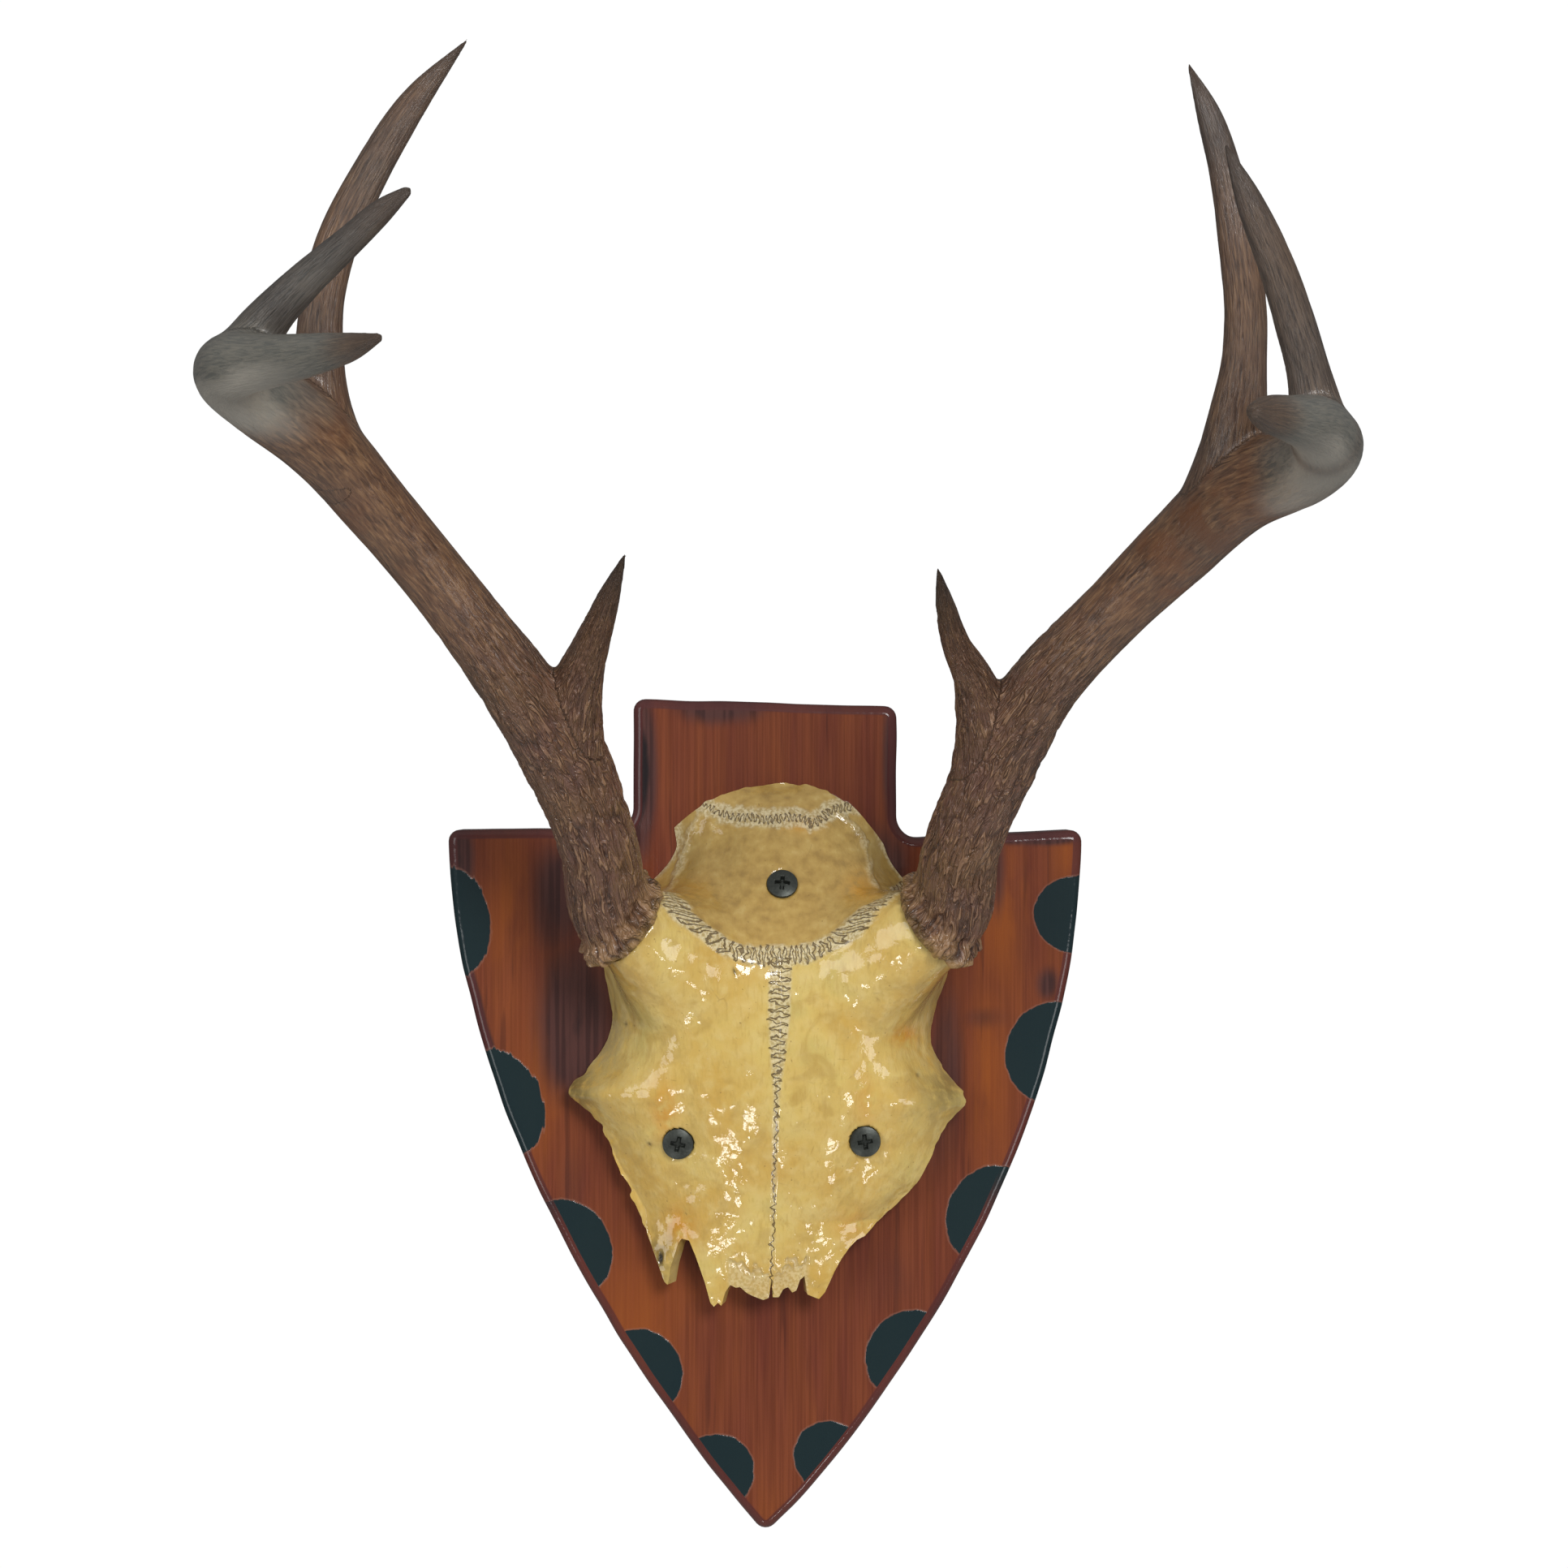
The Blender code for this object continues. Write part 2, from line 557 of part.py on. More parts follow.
def make_burr(name, direction, collection):
    """Knobbly ring around the antler's base, its lower side on the seat."""
    lift = direction * BURR_THICKNESS / 2
    turn = direction.to_track_quat("Z", "Y").to_matrix().to_4x4()
    bpy.ops.mesh.primitive_torus_add(
        major_segments=3 * BURR_LOBES,
        minor_segments=7,
        major_radius=BURR_RADIUS,
        minor_radius=BURR_THICKNESS / 2,
    )
    burr = bpy.context.active_object
    burr.name = name
    for vertex in burr.data.vertices:
        angle = math.atan2(vertex.co.y, vertex.co.x)
        swell = 1 + BURR_LOBE_DEPTH * math.cos(BURR_LOBES * angle) * max(vertex.co.xy.length / BURR_RADIUS - 1, 0)
        vertex.co.x *= swell
        vertex.co.y *= swell
    burr.data.transform(Matrix.Translation(lift) @ turn)
    for holder in list(burr.users_collection):
        holder.objects.unlink(burr)
    collection.objects.link(burr)
    return burr


def make_antler(name, form, side, height, skull, parts, cutters):
    seat, direction = seat_of(side)
    lead = direction * BURR_THICKNESS / 2
    antler = antler_tube(name, form["beam"], side, height, BEAM_RINGS, parts, lead)
    antler.name = name
    branches = [make_burr(f"{name}_burr", direction, cutters)]
    for tine in ("brow", "second", "third"):
        branches.append(antler_tube(f"{name}_{tine}", form[tine], side, height, TINE_RINGS, cutters))
    antler.parent = skull
    antler.location = seat + direction * CONTACT_GAP
    for branch in branches:
        hide_as_cutter(branch)
        branch.parent = antler
        combine(antler, branch, "UNION")
    antler.data.materials.append(make_material("antler"))
    antler.data.shade_smooth()
    return antler


# Screws, along local Z with the head's underside edge at z = 0 and the point down


def screw_profile(grow):
    """Half section from the head's top to the point, grown by a clearance all round for the hole."""
    head = SCREW_HEAD_RADIUS + grow
    shank = SCREW_SHANK_RADIUS + grow
    return [
        (0.0, SCREW_HEAD_EDGE + SCREW_HEAD_DOME),
        (head * 0.5, SCREW_HEAD_EDGE + SCREW_HEAD_DOME * 0.8),
        (head * 0.85, SCREW_HEAD_EDGE + SCREW_HEAD_DOME * 0.35),
        (head, SCREW_HEAD_EDGE * 0.6),
        (head, -grow),
        (shank, -SCREW_HEAD_CONE - grow),
        (shank, SCREW_POINT_LENGTH - SCREW_LENGTH),
        (0.0, -SCREW_LENGTH - grow),
    ]


def make_turned(name, profile, collection):
    """Profile turned about Z. It runs down its outer side, so its faces point out."""
    mesh = bpy.data.meshes.new(name)
    edges = [(index, index + 1) for index in range(len(profile) - 1)]
    mesh.from_pydata([(x, 0.0, z) for x, z in profile], edges, [])
    turned = bpy.data.objects.new(name, mesh)
    collection.objects.link(turned)
    screw = turned.modifiers.new("turn", "SCREW")
    screw.axis = "Z"
    screw.steps = SCREW_STEPS
    screw.render_steps = SCREW_STEPS
    screw.use_merge_vertices = True
    screw.merge_threshold = 0.00001
    return turned


def make_recess(name, screw, cutters):
    """Two crossed bars that cut the screw's cross recess."""
    top = SCREW_HEAD_EDGE + SCREW_HEAD_DOME
    for number, angle in enumerate((0.0, 90.0)):
        bpy.ops.mesh.primitive_cube_add(size=1.0)
        bar = bpy.context.active_object
        bar.name = f"{name}_recess_{number}"
        bar.data.transform(Matrix.Diagonal((RECESS_SPAN, RECESS_WIDTH, 2 * RECESS_DEPTH, 1.0)))
        bar.rotation_euler.z = math.radians(angle)
        bar.location.z = top
        for holder in list(bar.users_collection):
            holder.objects.unlink(bar)
        cutters.objects.link(bar)
        bar.parent = screw
        hide_as_cutter(bar)
        combine(screw, bar, "DIFFERENCE")


def make_screw(name, board, skull, parts, cutters, material):
    """Screw through the bone into the board, with the same shape grown by the clearance cut from both."""
    across, drop, tilt = SCREWS[name]
    height = float(skull_height(np.array(across), np.array(-drop)))
    tilt = math.radians(tilt)
    facing = Vector((0.0, -math.cos(tilt), math.sin(tilt)))
    place = Vector((across, -height, -drop)) + facing * (SCREW_PROUD - SCREW_HEAD_EDGE)
    screw = make_turned(name, screw_profile(0.0), parts)
    hole = hide_as_cutter(make_turned(f"{name}_hole", screw_profile(SCREW_CLEARANCE), cutters))
    for piece in (screw, hole):
        piece.parent = skull
        piece.location = place
        piece.rotation_euler = facing.to_track_quat("Z", "Y").to_euler()
    for drilled in (skull, board):
        combine(drilled, hole, "DIFFERENCE")
    make_recess(name, screw, cutters)
    screw.data.materials.append(material)
    return screw


def main():
    parts, cutters = empty_scene()
    board = make_board(parts)
    skull = make_skull(parts, cutters)
    right_height = ANTLER_HEIGHT * RIGHT_ANTLER_SHARE
    make_antler("antler_left", LEFT_ANTLER, -1, ANTLER_HEIGHT, skull, parts, cutters)
    make_antler("antler_right", RIGHT_ANTLER, 1, right_height, skull, parts, cutters)
    steel = make_material("black oxide steel")
    for name in SCREWS:
        make_screw(name, board, skull, parts, cutters, steel)


main()
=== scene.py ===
"""Looks of the antler mounting plaque: a deer's skull cap and antlers on an arrowhead-shaped pine board.

Metres, +Z up, and -Y out from the wall. The skull cap's surface is worked out over a plan of the board's
face, and each antler's over the paths of its beam and tines. Shapes and sizes are those of the solids.
"""

import math

import bpy
import numpy as np
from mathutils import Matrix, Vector


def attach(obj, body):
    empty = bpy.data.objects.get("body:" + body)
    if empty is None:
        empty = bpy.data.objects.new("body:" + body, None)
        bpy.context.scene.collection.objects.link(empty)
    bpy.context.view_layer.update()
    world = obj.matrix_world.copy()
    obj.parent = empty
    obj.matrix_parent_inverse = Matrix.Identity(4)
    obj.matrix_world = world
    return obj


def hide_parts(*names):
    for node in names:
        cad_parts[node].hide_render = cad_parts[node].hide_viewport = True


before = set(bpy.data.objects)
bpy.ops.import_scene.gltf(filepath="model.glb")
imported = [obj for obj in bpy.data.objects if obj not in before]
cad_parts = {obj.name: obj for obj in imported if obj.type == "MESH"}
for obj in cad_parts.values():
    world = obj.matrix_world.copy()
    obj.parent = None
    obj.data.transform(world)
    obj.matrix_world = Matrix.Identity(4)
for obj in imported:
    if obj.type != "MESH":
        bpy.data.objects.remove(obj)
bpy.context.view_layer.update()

MM = 0.001
CONTACT_GAP = 0.3 * MM

# Photograph's camera: its place, and its focal length in pixels of the square frame
CAMERA_PLACE = (0.0056, -1.119, 0.096)
FOCAL_PIXELS = 4663
FRAME_PIXELS = 1932
SENSOR_WIDTH = 36.0

# Board
BOARD_WIDTH = 0.185
BOARD_HEIGHT = 0.242
BOARD_THICKNESS = 0.019
STEM_WIDTH = 0.077
STEM_HEIGHT = 0.038
STEM_SLANT = 0.0022
SHOULDER_SLANT = 0.0026
SIDE_BOWS = {-1: 1.85, 1: 1.96}
SIDE_FULLNESSES = {-1: 0.99, 1: 0.95}
TIP_LENGTH = 0.0082
CORNER_RADIUS = 0.0036
FILLET_RADIUS = 0.0060
TIP_RADIUS = 0.0040
EDGE_ROUNDING = 0.0027
SIDE_POINTS = 90
ARC_CHORDS = 14
OUTLINE_POINTS = 660
FACE_RINGS = 64
FACE_REACH = 0.97
SPINE_DROP = 0.010
SPINE_SHARE = 0.6

# Painted scallops along the board's edge: (side, height of the middle, half length along the edge, depth)
SCALLOPS = (
    (-1, 0.0561, 0.0156, 0.0102), (-1, 0.0026, 0.0158, 0.0115), (-1, -0.0390, 0.0146, 0.0126),
    (-1, -0.0750, 0.0126, 0.0118), (-1, -0.1042, 0.0110, 0.0120),
    (1, 0.0583, 0.0112, 0.0125), (1, 0.0185, 0.0146, 0.0128), (1, -0.0288, 0.0146, 0.0124),
    (1, -0.0698, 0.0134, 0.0124), (1, -0.1008, 0.0104, 0.0122),
)

# Soft patches of the board's stain: (across, up, half width, half height, strength). The dark patches against the skull
# cap's left side and its upper right are painted shadow of the skull cap; the other dark patches are stain.
DARK_STAINS_AND_SHADOWS = (
    (-0.0590, 0.0620, 0.0110, 0.0220, 0.80), (-0.0550, 0.0290, 0.0130, 0.0290, 0.92),
    (-0.0430, 0.0540, 0.0120, 0.0160, 0.76), (-0.0890, 0.0740, 0.0050, 0.0130, 1.10),
    (-0.0368, 0.1000, 0.0050, 0.0260, 1.40), (-0.0130, 0.1190, 0.0150, 0.0065, 0.95),
    (0.0370, 0.1010, 0.0032, 0.0220, 1.00), (0.0350, 0.0720, 0.0085, 0.0150, 0.85),
    (0.0530, 0.0130, 0.0060, 0.0300, 0.72), (0.0480, 0.0010, 0.0100, 0.0260, 0.62),
    (0.0680, 0.0700, 0.0030, 0.0160, 0.65), (0.0780, 0.0805, 0.0150, 0.0026, 1.10),
    (0.0640, 0.0280, 0.0120, 0.0050, 0.45), (0.0820, 0.0380, 0.0045, 0.0060, 0.75),
    (-0.0560, -0.0200, 0.0060, 0.0200, 0.45), (0.0340, -0.0480, 0.0200, 0.0180, 0.35),
)
LIGHT_STAINS = (
    (-0.0740, 0.0560, 0.0080, 0.0260, 0.75), (-0.0640, 0.0120, 0.0090, 0.0280, 0.80),
    (0.0700, 0.0560, 0.0110, 0.0200, 1.00), (0.0650, 0.0100, 0.0060, 0.0300, 0.95),
    (0.0880, 0.0760, 0.0040, 0.0100, 1.00), (-0.0360, -0.0620, 0.0170, 0.0300, 0.80),
    (0.0760, 0.0400, 0.0030, 0.0060, 0.80), (0.0200, 0.1000, 0.0100, 0.0140, 0.25),
)

# Skull cap
SKULL_NAPE_HEIGHT = 0.0958
SKULL_LENGTH = 0.1505
SKULL_HALF_SPAN = 0.0570
SKULL_PEAK = 0.0325
BONE_THICKNESS = 0.0042
MIDLINE_AT_NAPE = 0.0058
MIDLINE_DRIFT = -0.0043
SKULL_COLUMNS = 312
SKULL_ROWS = 256
INNER_STEP = 4

# (share of the length down from the nape, share of the half span out from the midline)
LEFT_OUTLINE = (
    (0.083, 0.556), (0.122, 0.545), (0.177, 0.640), (0.223, 0.790), (0.286, 0.880), (0.341, 0.900),
    (0.411, 0.862), (0.458, 0.846), (0.505, 0.883), (0.545, 0.960), (0.594, 1.050), (0.612, 0.990),
    (0.640, 0.912), (0.692, 0.828), (0.739, 0.762), (0.778, 0.698), (0.817, 0.640),
)
RIGHT_OUTLINE = (
    (0.114, 0.512), (0.145, 0.545), (0.190, 0.640), (0.235, 0.770), (0.300, 0.850), (0.364, 0.858),
    (0.427, 0.805), (0.505, 0.790), (0.552, 0.862), (0.614, 0.962), (0.632, 0.910), (0.665, 0.850),
    (0.708, 0.800), (0.762, 0.727), (0.800, 0.640), (0.833, 0.545),
)
NAPE_ARCH = 2.5
NOSE_ARCH = 1.5
NOSE_ARCH_SHARE = 0.965
NOSE_BREAK = 0.78
MIDLINE_RISE = (
    (0.00, 0.05), (0.03, 0.20), (0.10, 0.41), (0.19, 0.61), (0.30, 0.90), (0.36, 1.00), (0.45, 1.00),
    (0.60, 0.89), (0.69, 0.77), (0.83, 0.57), (1.00, 0.37),
)
RIM_RISE = (
    (0.00, 0.00), (0.44, 0.00), (0.53, 0.10), (0.60, 0.25), (0.70, 0.27), (0.82, 0.24), (1.00, 0.29),
)
SECTION_SQUARENESS = ((0.00, 2.2), (0.16, 2.8), (0.28, 4.8), (0.38, 4.6), (0.60, 3.8), (0.80, 2.8), (1.00, 2.2))
FURROW_DEPTH = 0.0024
FURROW_WIDTH = 0.0055
FURROW_SPAN = 0.0530
FURROW_MIDDLE = 0.68
FURROW_REACH = 0.11
BOSS_RISE = 0.0160
BOSS_SPREAD = 0.0150
BOSS_SPAN = 0.0800
BOSS_MIDDLE = 0.295

# Pedicles and the burrs' seats on them
SEAT_SPAN = 0.0847
SEAT_DROP = 0.0398
SEAT_RISE = 0.0335
SEAT_DIRECTION = (0.70, 0.45, 0.55)
PEDICLE_RADIUS = 0.0122
PEDICLE_FLARE = 0.0140

# Seams between the skull's bones, as points (across, up) on the board's face
MIDLINE_SEAM = ((0.0047, 0.0470), (0.0040, 0.0230), (0.0034, 0.0050), (0.0026, -0.0230), (0.0019, -0.0520))
CROWN_SEAM = (
    (-0.0210, 0.0605), (-0.0170, 0.0565), (-0.0138, 0.0518), (-0.0095, 0.0486), (0.0019, 0.0475),
    (0.0125, 0.0480), (0.0185, 0.0500), (0.0225, 0.0548), (0.0285, 0.0590),
)
NAPE_SEAM = (
    (-0.0180, 0.0905), (-0.0126, 0.0876), (-0.0042, 0.0864), (0.0037, 0.0859), (0.0094, 0.0866),
    (0.0150, 0.0850), (0.0185, 0.0880), (0.0234, 0.0892),
)
TEMPLE_RIDGES = (
    ((-0.0165, 0.0898), (-0.0216, 0.0819), (-0.0233, 0.0763), (-0.0261, 0.0684), (-0.0290, 0.0630)),
    ((0.0205, 0.0890), (0.0250, 0.0842), (0.0285, 0.0797), (0.0296, 0.0740), (0.0320, 0.0670)),
)

# Broken nose edge as points (across, up) on the board's face, from the left corner to the right one
NOSE_EDGE = (
    (-0.0336, -0.0288), (-0.0338, -0.0322), (-0.0322, -0.0345), (-0.0318, -0.0370), (-0.0300, -0.0425),
    (-0.0284, -0.0472), (-0.0274, -0.0482), (-0.0266, -0.0430), (-0.0246, -0.0362), (-0.0236, -0.0345),
    (-0.0214, -0.0350), (-0.0196, -0.0395), (-0.0170, -0.0470), (-0.0153, -0.0532), (-0.0143, -0.0543),
    (-0.0132, -0.0531), (-0.0122, -0.0540), (-0.0112, -0.0500), (-0.0098, -0.0478), (-0.0082, -0.0486),
    (-0.0070, -0.0484), (-0.0050, -0.0502), (-0.0030, -0.0512), (-0.0004, -0.0522), (0.0012, -0.0516),
    (0.0017, -0.0460), (0.0022, -0.0514), (0.0040, -0.0514), (0.0052, -0.0490), (0.0066, -0.0484),
    (0.0078, -0.0500), (0.0090, -0.0494), (0.0100, -0.0462), (0.0112, -0.0452), (0.0121, -0.0506),
    (0.0135, -0.0512), (0.0155, -0.0520), (0.0172, -0.0500), (0.0187, -0.0462), (0.0212, -0.0412),
    (0.0240, -0.0372), (0.0262, -0.0350), (0.0286, -0.0340), (0.0306, -0.0312), (0.0330, -0.0296),
)
NOSE_LEDGE_SHARE = 0.945
NOSE_LEDGE_REACH = 0.0125

# Stains and pits on the bone: (across, up, half width, half height, strength). The olive patches are part stain and
# part painted shade, on the splinter and on the side walls that turn away.
ORANGE_STAINS = (
    (-0.0244, -0.0310, 0.0052, 0.0062, 1.0), (0.0403, 0.0240, 0.0045, 0.0028, 1.0),
    (-0.0284, 0.0030, 0.0035, 0.0080, 0.9), (0.0262, -0.0305, 0.0060, 0.0050, 0.6),
    (0.0285, 0.0050, 0.0040, 0.0100, 0.5), (-0.0210, 0.0640, 0.0060, 0.0060, 0.5),
    (0.0280, 0.0650, 0.0050, 0.0060, 0.7), (0.0110, 0.0850, 0.0050, 0.0025, 0.8),
)
OLIVE_STAINS_AND_SHADE = (
    (-0.0560, 0.0080, 0.0080, 0.0090, 1.0), (0.0520, 0.0080, 0.0075, 0.0080, 0.8),
    (-0.0460, 0.0260, 0.0060, 0.0160, 0.55), (0.0500, 0.0300, 0.0040, 0.0120, 0.45),
    (-0.0300, -0.0400, 0.0050, 0.0090, 0.85), (-0.0240, 0.0760, 0.0050, 0.0110, 0.5),
    (0.0330, 0.0760, 0.0040, 0.0120, 0.4), (-0.0240, 0.0560, 0.0040, 0.0035, 0.5),
)
# The pits' near black colour is painted shade, as of holes.
PITS = (
    (-0.0300, -0.0406, 0.0006, 0.0013, 1.4), (-0.0330, -0.0070, 0.0006, 0.0005, 0.5),
    (-0.0400, 0.0270, 0.0005, 0.0005, 0.4), (0.0440, 0.0130, 0.0005, 0.0006, 0.4),
    (0.0370, 0.0560, 0.0006, 0.0006, 0.5), (-0.0075, 0.0425, 0.0003, 0.0008, 0.6),
)

# Antlers
ANTLER_HEIGHT = 0.226
RIGHT_ANTLER_SHARE = 0.9735
BEAM_RADIUS = 0.0090
BURR_RADIUS = 0.0118
BURR_THICKNESS = 0.0070
BURR_KNOBS = 13
PATH_STEP = 1.2 * MM
TUBE_SIDES = 40
SKIN_CELL = 0.60 * MM

# How dusty grey the beam, brow, second and third tines are, from 0 to 1, for the left antler and the right
DUSTY_BRANCHES = {-1: (1.0, 0.0, 0.1, 0.85), 1: (1.0, 0.0, 0.0, 0.15)}

# How far their upper lengths are darkened, likewise
DARK_BRANCHES = {-1: (0.0, 0.0, 0.45, 0.95), 1: (0.0, 0.0, 0.60, 0.80)}

# Stations (outwards from the midline, out from the wall, up) in hundredths of the antler's height from its
# seat, with the girth as a share of the beam's radius
LEFT_ANTLER = {
    "beam": (
        (0.0, 0.0, 0.0, 1.42), (2.0, 2.2, 2.6, 1.34), (3.6, 8.4, 10.4, 1.24), (7.5, 16.6, 21.4, 1.34),
        (12.1, 24.5, 29.0, 1.16), (20.1, 32.9, 40.2, 1.00), (27.0, 41.3, 49.0, 1.02),
        (33.0, 49.7, 56.2, 1.12), (38.2, 57.7, 60.1, 1.12), (40.1, 65.2, 61.6, 1.04),
        (38.6, 72.9, 61.8, 0.92), (34.2, 80.7, 61.3, 0.74), (27.4, 91.8, 60.9, 0.54),
        (23.1, 99.0, 60.8, 0.36), (20.1, 103.5, 61.1, 0.14),
    ),
    "brow": (
        (6.2, 14.2, 17.5, 1.10), (6.3, 18.9, 24.0, 1.02), (5.5, 23.2, 28.6, 0.84), (3.4, 28.9, 33.7, 0.58),
        (1.2, 34.7, 38.7, 0.38), (-1.1, 40.9, 43.7, 0.08),
    ),
    "second": (
        (30.6, 46.0, 52.8, 1.00), (32.6, 48.9, 60.5, 0.86), (32.6, 50.0, 66.0, 0.72),
        (32.2, 51.1, 70.1, 0.65), (30.5, 52.4, 77.1, 0.62), (26.5, 53.7, 85.1, 0.55),
        (21.4, 54.6, 93.0, 0.43), (15.6, 55.5, 99.5, 0.07),
    ),
    "third": (
        (38.4, 70.4, 62.5, 0.90), (34.4, 75.0, 66.9, 0.62), (30.5, 77.2, 70.3, 0.52),
        (25.9, 79.8, 73.8, 0.43), (21.8, 81.9, 77.0, 0.33), (19.3, 82.9, 78.7, 0.16),
    ),
}
RIGHT_ANTLER = {
    "beam": (
        (0.0, 0.0, 0.0, 1.42), (2.0, 2.2, 2.6, 1.34), (3.4, 8.9, 10.0, 1.20), (7.7, 17.1, 21.2, 1.24),
        (12.6, 25.2, 30.1, 1.09), (20.4, 32.5, 38.7, 1.01), (27.3, 39.8, 45.7, 1.12),
        (33.6, 48.0, 51.7, 1.20), (39.7, 57.1, 54.2, 1.16), (40.9, 66.5, 55.2, 1.04),
        (39.7, 74.5, 55.7, 0.94), (37.7, 82.1, 56.2, 0.82), (33.4, 93.5, 55.9, 0.62),
        (29.8, 101.1, 55.7, 0.44), (28.2, 104.4, 55.6, 0.22),
    ),
    "brow": (
        (5.4, 13.0, 16.0, 1.10), (6.0, 18.0, 22.5, 1.00), (5.2, 22.5, 27.5, 0.82), (4.0, 26.0, 31.0, 0.62),
        (1.9, 29.8, 34.6, 0.46), (0.3, 35.3, 39.1, 0.32), (-0.9, 41.2, 43.3, 0.08),
    ),
    "second": (
        (30.5, 44.0, 49.0, 1.08), (32.6, 47.5, 55.5, 1.00), (33.3, 50.0, 61.0, 0.84),
        (33.7, 51.5, 66.0, 0.68), (33.8, 52.5, 71.4, 0.63), (32.8, 53.9, 79.6, 0.59),
        (31.2, 54.8, 87.8, 0.49), (29.2, 55.7, 94.1, 0.37), (26.8, 56.6, 99.6, 0.07),
    ),
    "third": (
        (39.4, 73.5, 56.0, 0.90), (37.9, 75.3, 62.3, 0.62), (36.1, 77.1, 67.8, 0.57),
        (34.2, 78.9, 72.8, 0.52), (30.6, 81.2, 80.5, 0.38), (27.9, 83.0, 86.0, 0.08),
    ),
}

# Screws: (across, drop from the nape, tilt of the head up in degrees, turn of the cross in degrees)
SCREWS = {
    "screw_top": (0.0051, 0.0285, 30.0, 4.0),
    "screw_lower_left": (-0.0246, 0.1023, -5.0, 12.0),
    "screw_lower_right": (0.0287, 0.1016, -5.0, -8.0),
}
SCREW_LENGTH = 0.0320
SCREW_HEAD_RADIUS = 0.00445
SCREW_HEAD_DOME = 0.0007
SCREW_HEAD_EDGE = 0.0006
SCREW_HEAD_CONE = 0.0026
SCREW_SHANK_RADIUS = 0.0019
SCREW_POINT_LENGTH = 0.0060
SCREW_PROUD = 0.0008
RECESS_SPAN = 0.0046
RECESS_WIDTH = 0.0011
RECESS_DEPTH = 0.0020
HEAD_RINGS = 56
HEAD_SPOKES = 144

# Stage: the plaque hangs at eye height over the floor
FLOOR_HEIGHT = -1.5
FLOOR_RADIUS = 3.0


# Arrays


def smooth_through(knots, values, at):
    """Cubic curve through the values, its tangents those of the parabolas through each value's neighbours."""
    knots = np.asarray(knots, float)
    values = np.asarray(values, float)
    at = np.clip(np.asarray(at, float), knots[0], knots[-1])
    gaps = np.diff(knots)
    wide = gaps.reshape(-1, *[1] * (values.ndim - 1))
    slopes = np.diff(values, axis=0) / wide
    inner = (slopes[:-1] * wide[1:] + slopes[1:] * wide[:-1]) / (wide[:-1] + wide[1:])
    tangents = np.concatenate([slopes[:1], inner, slopes[-1:]])
    index = np.clip(np.searchsorted(knots, at, side="right") - 1, 0, len(gaps) - 1)
    share = (at - knots[index]) / gaps[index]
    gap = gaps[index]
    if values.ndim > 1:
        share = share[..., None]
        gap = gap[..., None]
    start = (1 + 2 * share) * (1 - share) ** 2 * values[index]
    end = share**2 * (3 - 2 * share) * values[index + 1]
    leaving = share * (1 - share) ** 2 * gap * tangents[index]
    arriving = share**2 * (share - 1) * gap * tangents[index + 1]
    return start + end + leaving + arriving


def read_table(table, at):
    places, values = np.array(table).T
    return smooth_through(places, values, at)


def smooth_step(low, high, values):
    """0 below low and 1 above high, with t*t*(3 - 2*t) between."""
    share = np.clip((values - low) / (high - low), 0.0, 1.0)
    return share * share * (3 - 2 * share)


def unit(vectors):
    return vectors / np.maximum(np.linalg.norm(vectors, axis=-1, keepdims=True), 1e-12)


def lattice_value(x, y, z, seed):
    """A repeatable number from -1 to 1 for each whole-numbered place, from an integer hash."""
    mixed = (x * 374761393 + y * 668265263 + z * 1274126177 + seed * 362437) & 0xFFFFFFFF
    mixed = ((mixed ^ (mixed >> 13)) * 1103515245) & 0xFFFFFFFF
    mixed = ((mixed ^ (mixed >> 15)) * 1664525) & 0xFFFFFFFF
    return ((mixed >> 8) & 0xFFFF) / 32767.5 - 1.0


def noise(places, seed=0):
    """Smooth noise from -1 to 1: the numbers at a cell's eight corners, blended along each axis."""
    base = np.floor(places).astype(np.int64)
    share = places - base
    share = share * share * (3 - 2 * share)
    total = np.zeros(places.shape[:-1])
    for corner in range(8):
        step = np.array([corner & 1, corner >> 1 & 1, corner >> 2 & 1])
        weight = np.prod(np.where(step, share, 1 - share), axis=-1)
        at = base + step
        total += weight * lattice_value(at[..., 0], at[..., 1], at[..., 2], seed)
    return total


def gap_to_path(places, path):
    """Distance from each plan place to the nearest point of a path, in blocks to spare memory."""
    flat = places.reshape(-1, 2)
    blocks = [
        np.sqrt(((block[:, None, :] - path[None, :, :]) ** 2).sum(axis=-1).min(axis=1))
        for block in np.array_split(flat, max(1, len(flat) // 3000))
    ]
    return np.concatenate(blocks).reshape(places.shape[:-1])


def patches(x, z, table):
    """Strongest of a table's soft patches at each place: strength times exp(-(dx/w)^2 - (dz/h)^2)."""
    parts = [
        strength * np.exp(-(((x - across) / wide) ** 2) - ((z - up) / tall) ** 2)
        for across, up, wide, tall, strength in table
    ]
    return np.max(parts, axis=0)


def path_through(points, count):
    """Evenly spaced points on the smooth curve through a few."""
    points = np.array(points)
    knots = np.concatenate([[0.0], np.cumsum(np.linalg.norm(np.diff(points, axis=0), axis=1))])
    return smooth_through(knots, points, np.linspace(0.0, knots[-1], count))


# Meshes


def mesh_object(name, points, faces, attributes=None, sharp_degrees=None):
    """Object with its place in its mesh, smooth shaded, carrying a number per vertex for each attribute."""
    mesh = bpy.data.meshes.new(name)
    mesh.from_pydata(points.tolist(), [], [list(face) for face in faces])
    mesh.validate()
    mesh.shade_smooth()
    if sharp_degrees is not None:
        mesh.set_sharp_from_angle(angle=math.radians(sharp_degrees))
    for attribute, values in (attributes or {}).items():
        values = np.asarray(values, np.float32)
        whole = values.shape[-1] == 3 and values.size == 3 * len(points)
        layer = mesh.attributes.new(attribute, "FLOAT_VECTOR" if whole else "FLOAT", "POINT")
        layer.data.foreach_set("vector" if whole else "value", values.ravel())
    made = bpy.data.objects.new(name, mesh)
    bpy.context.scene.collection.objects.link(made)
    return made


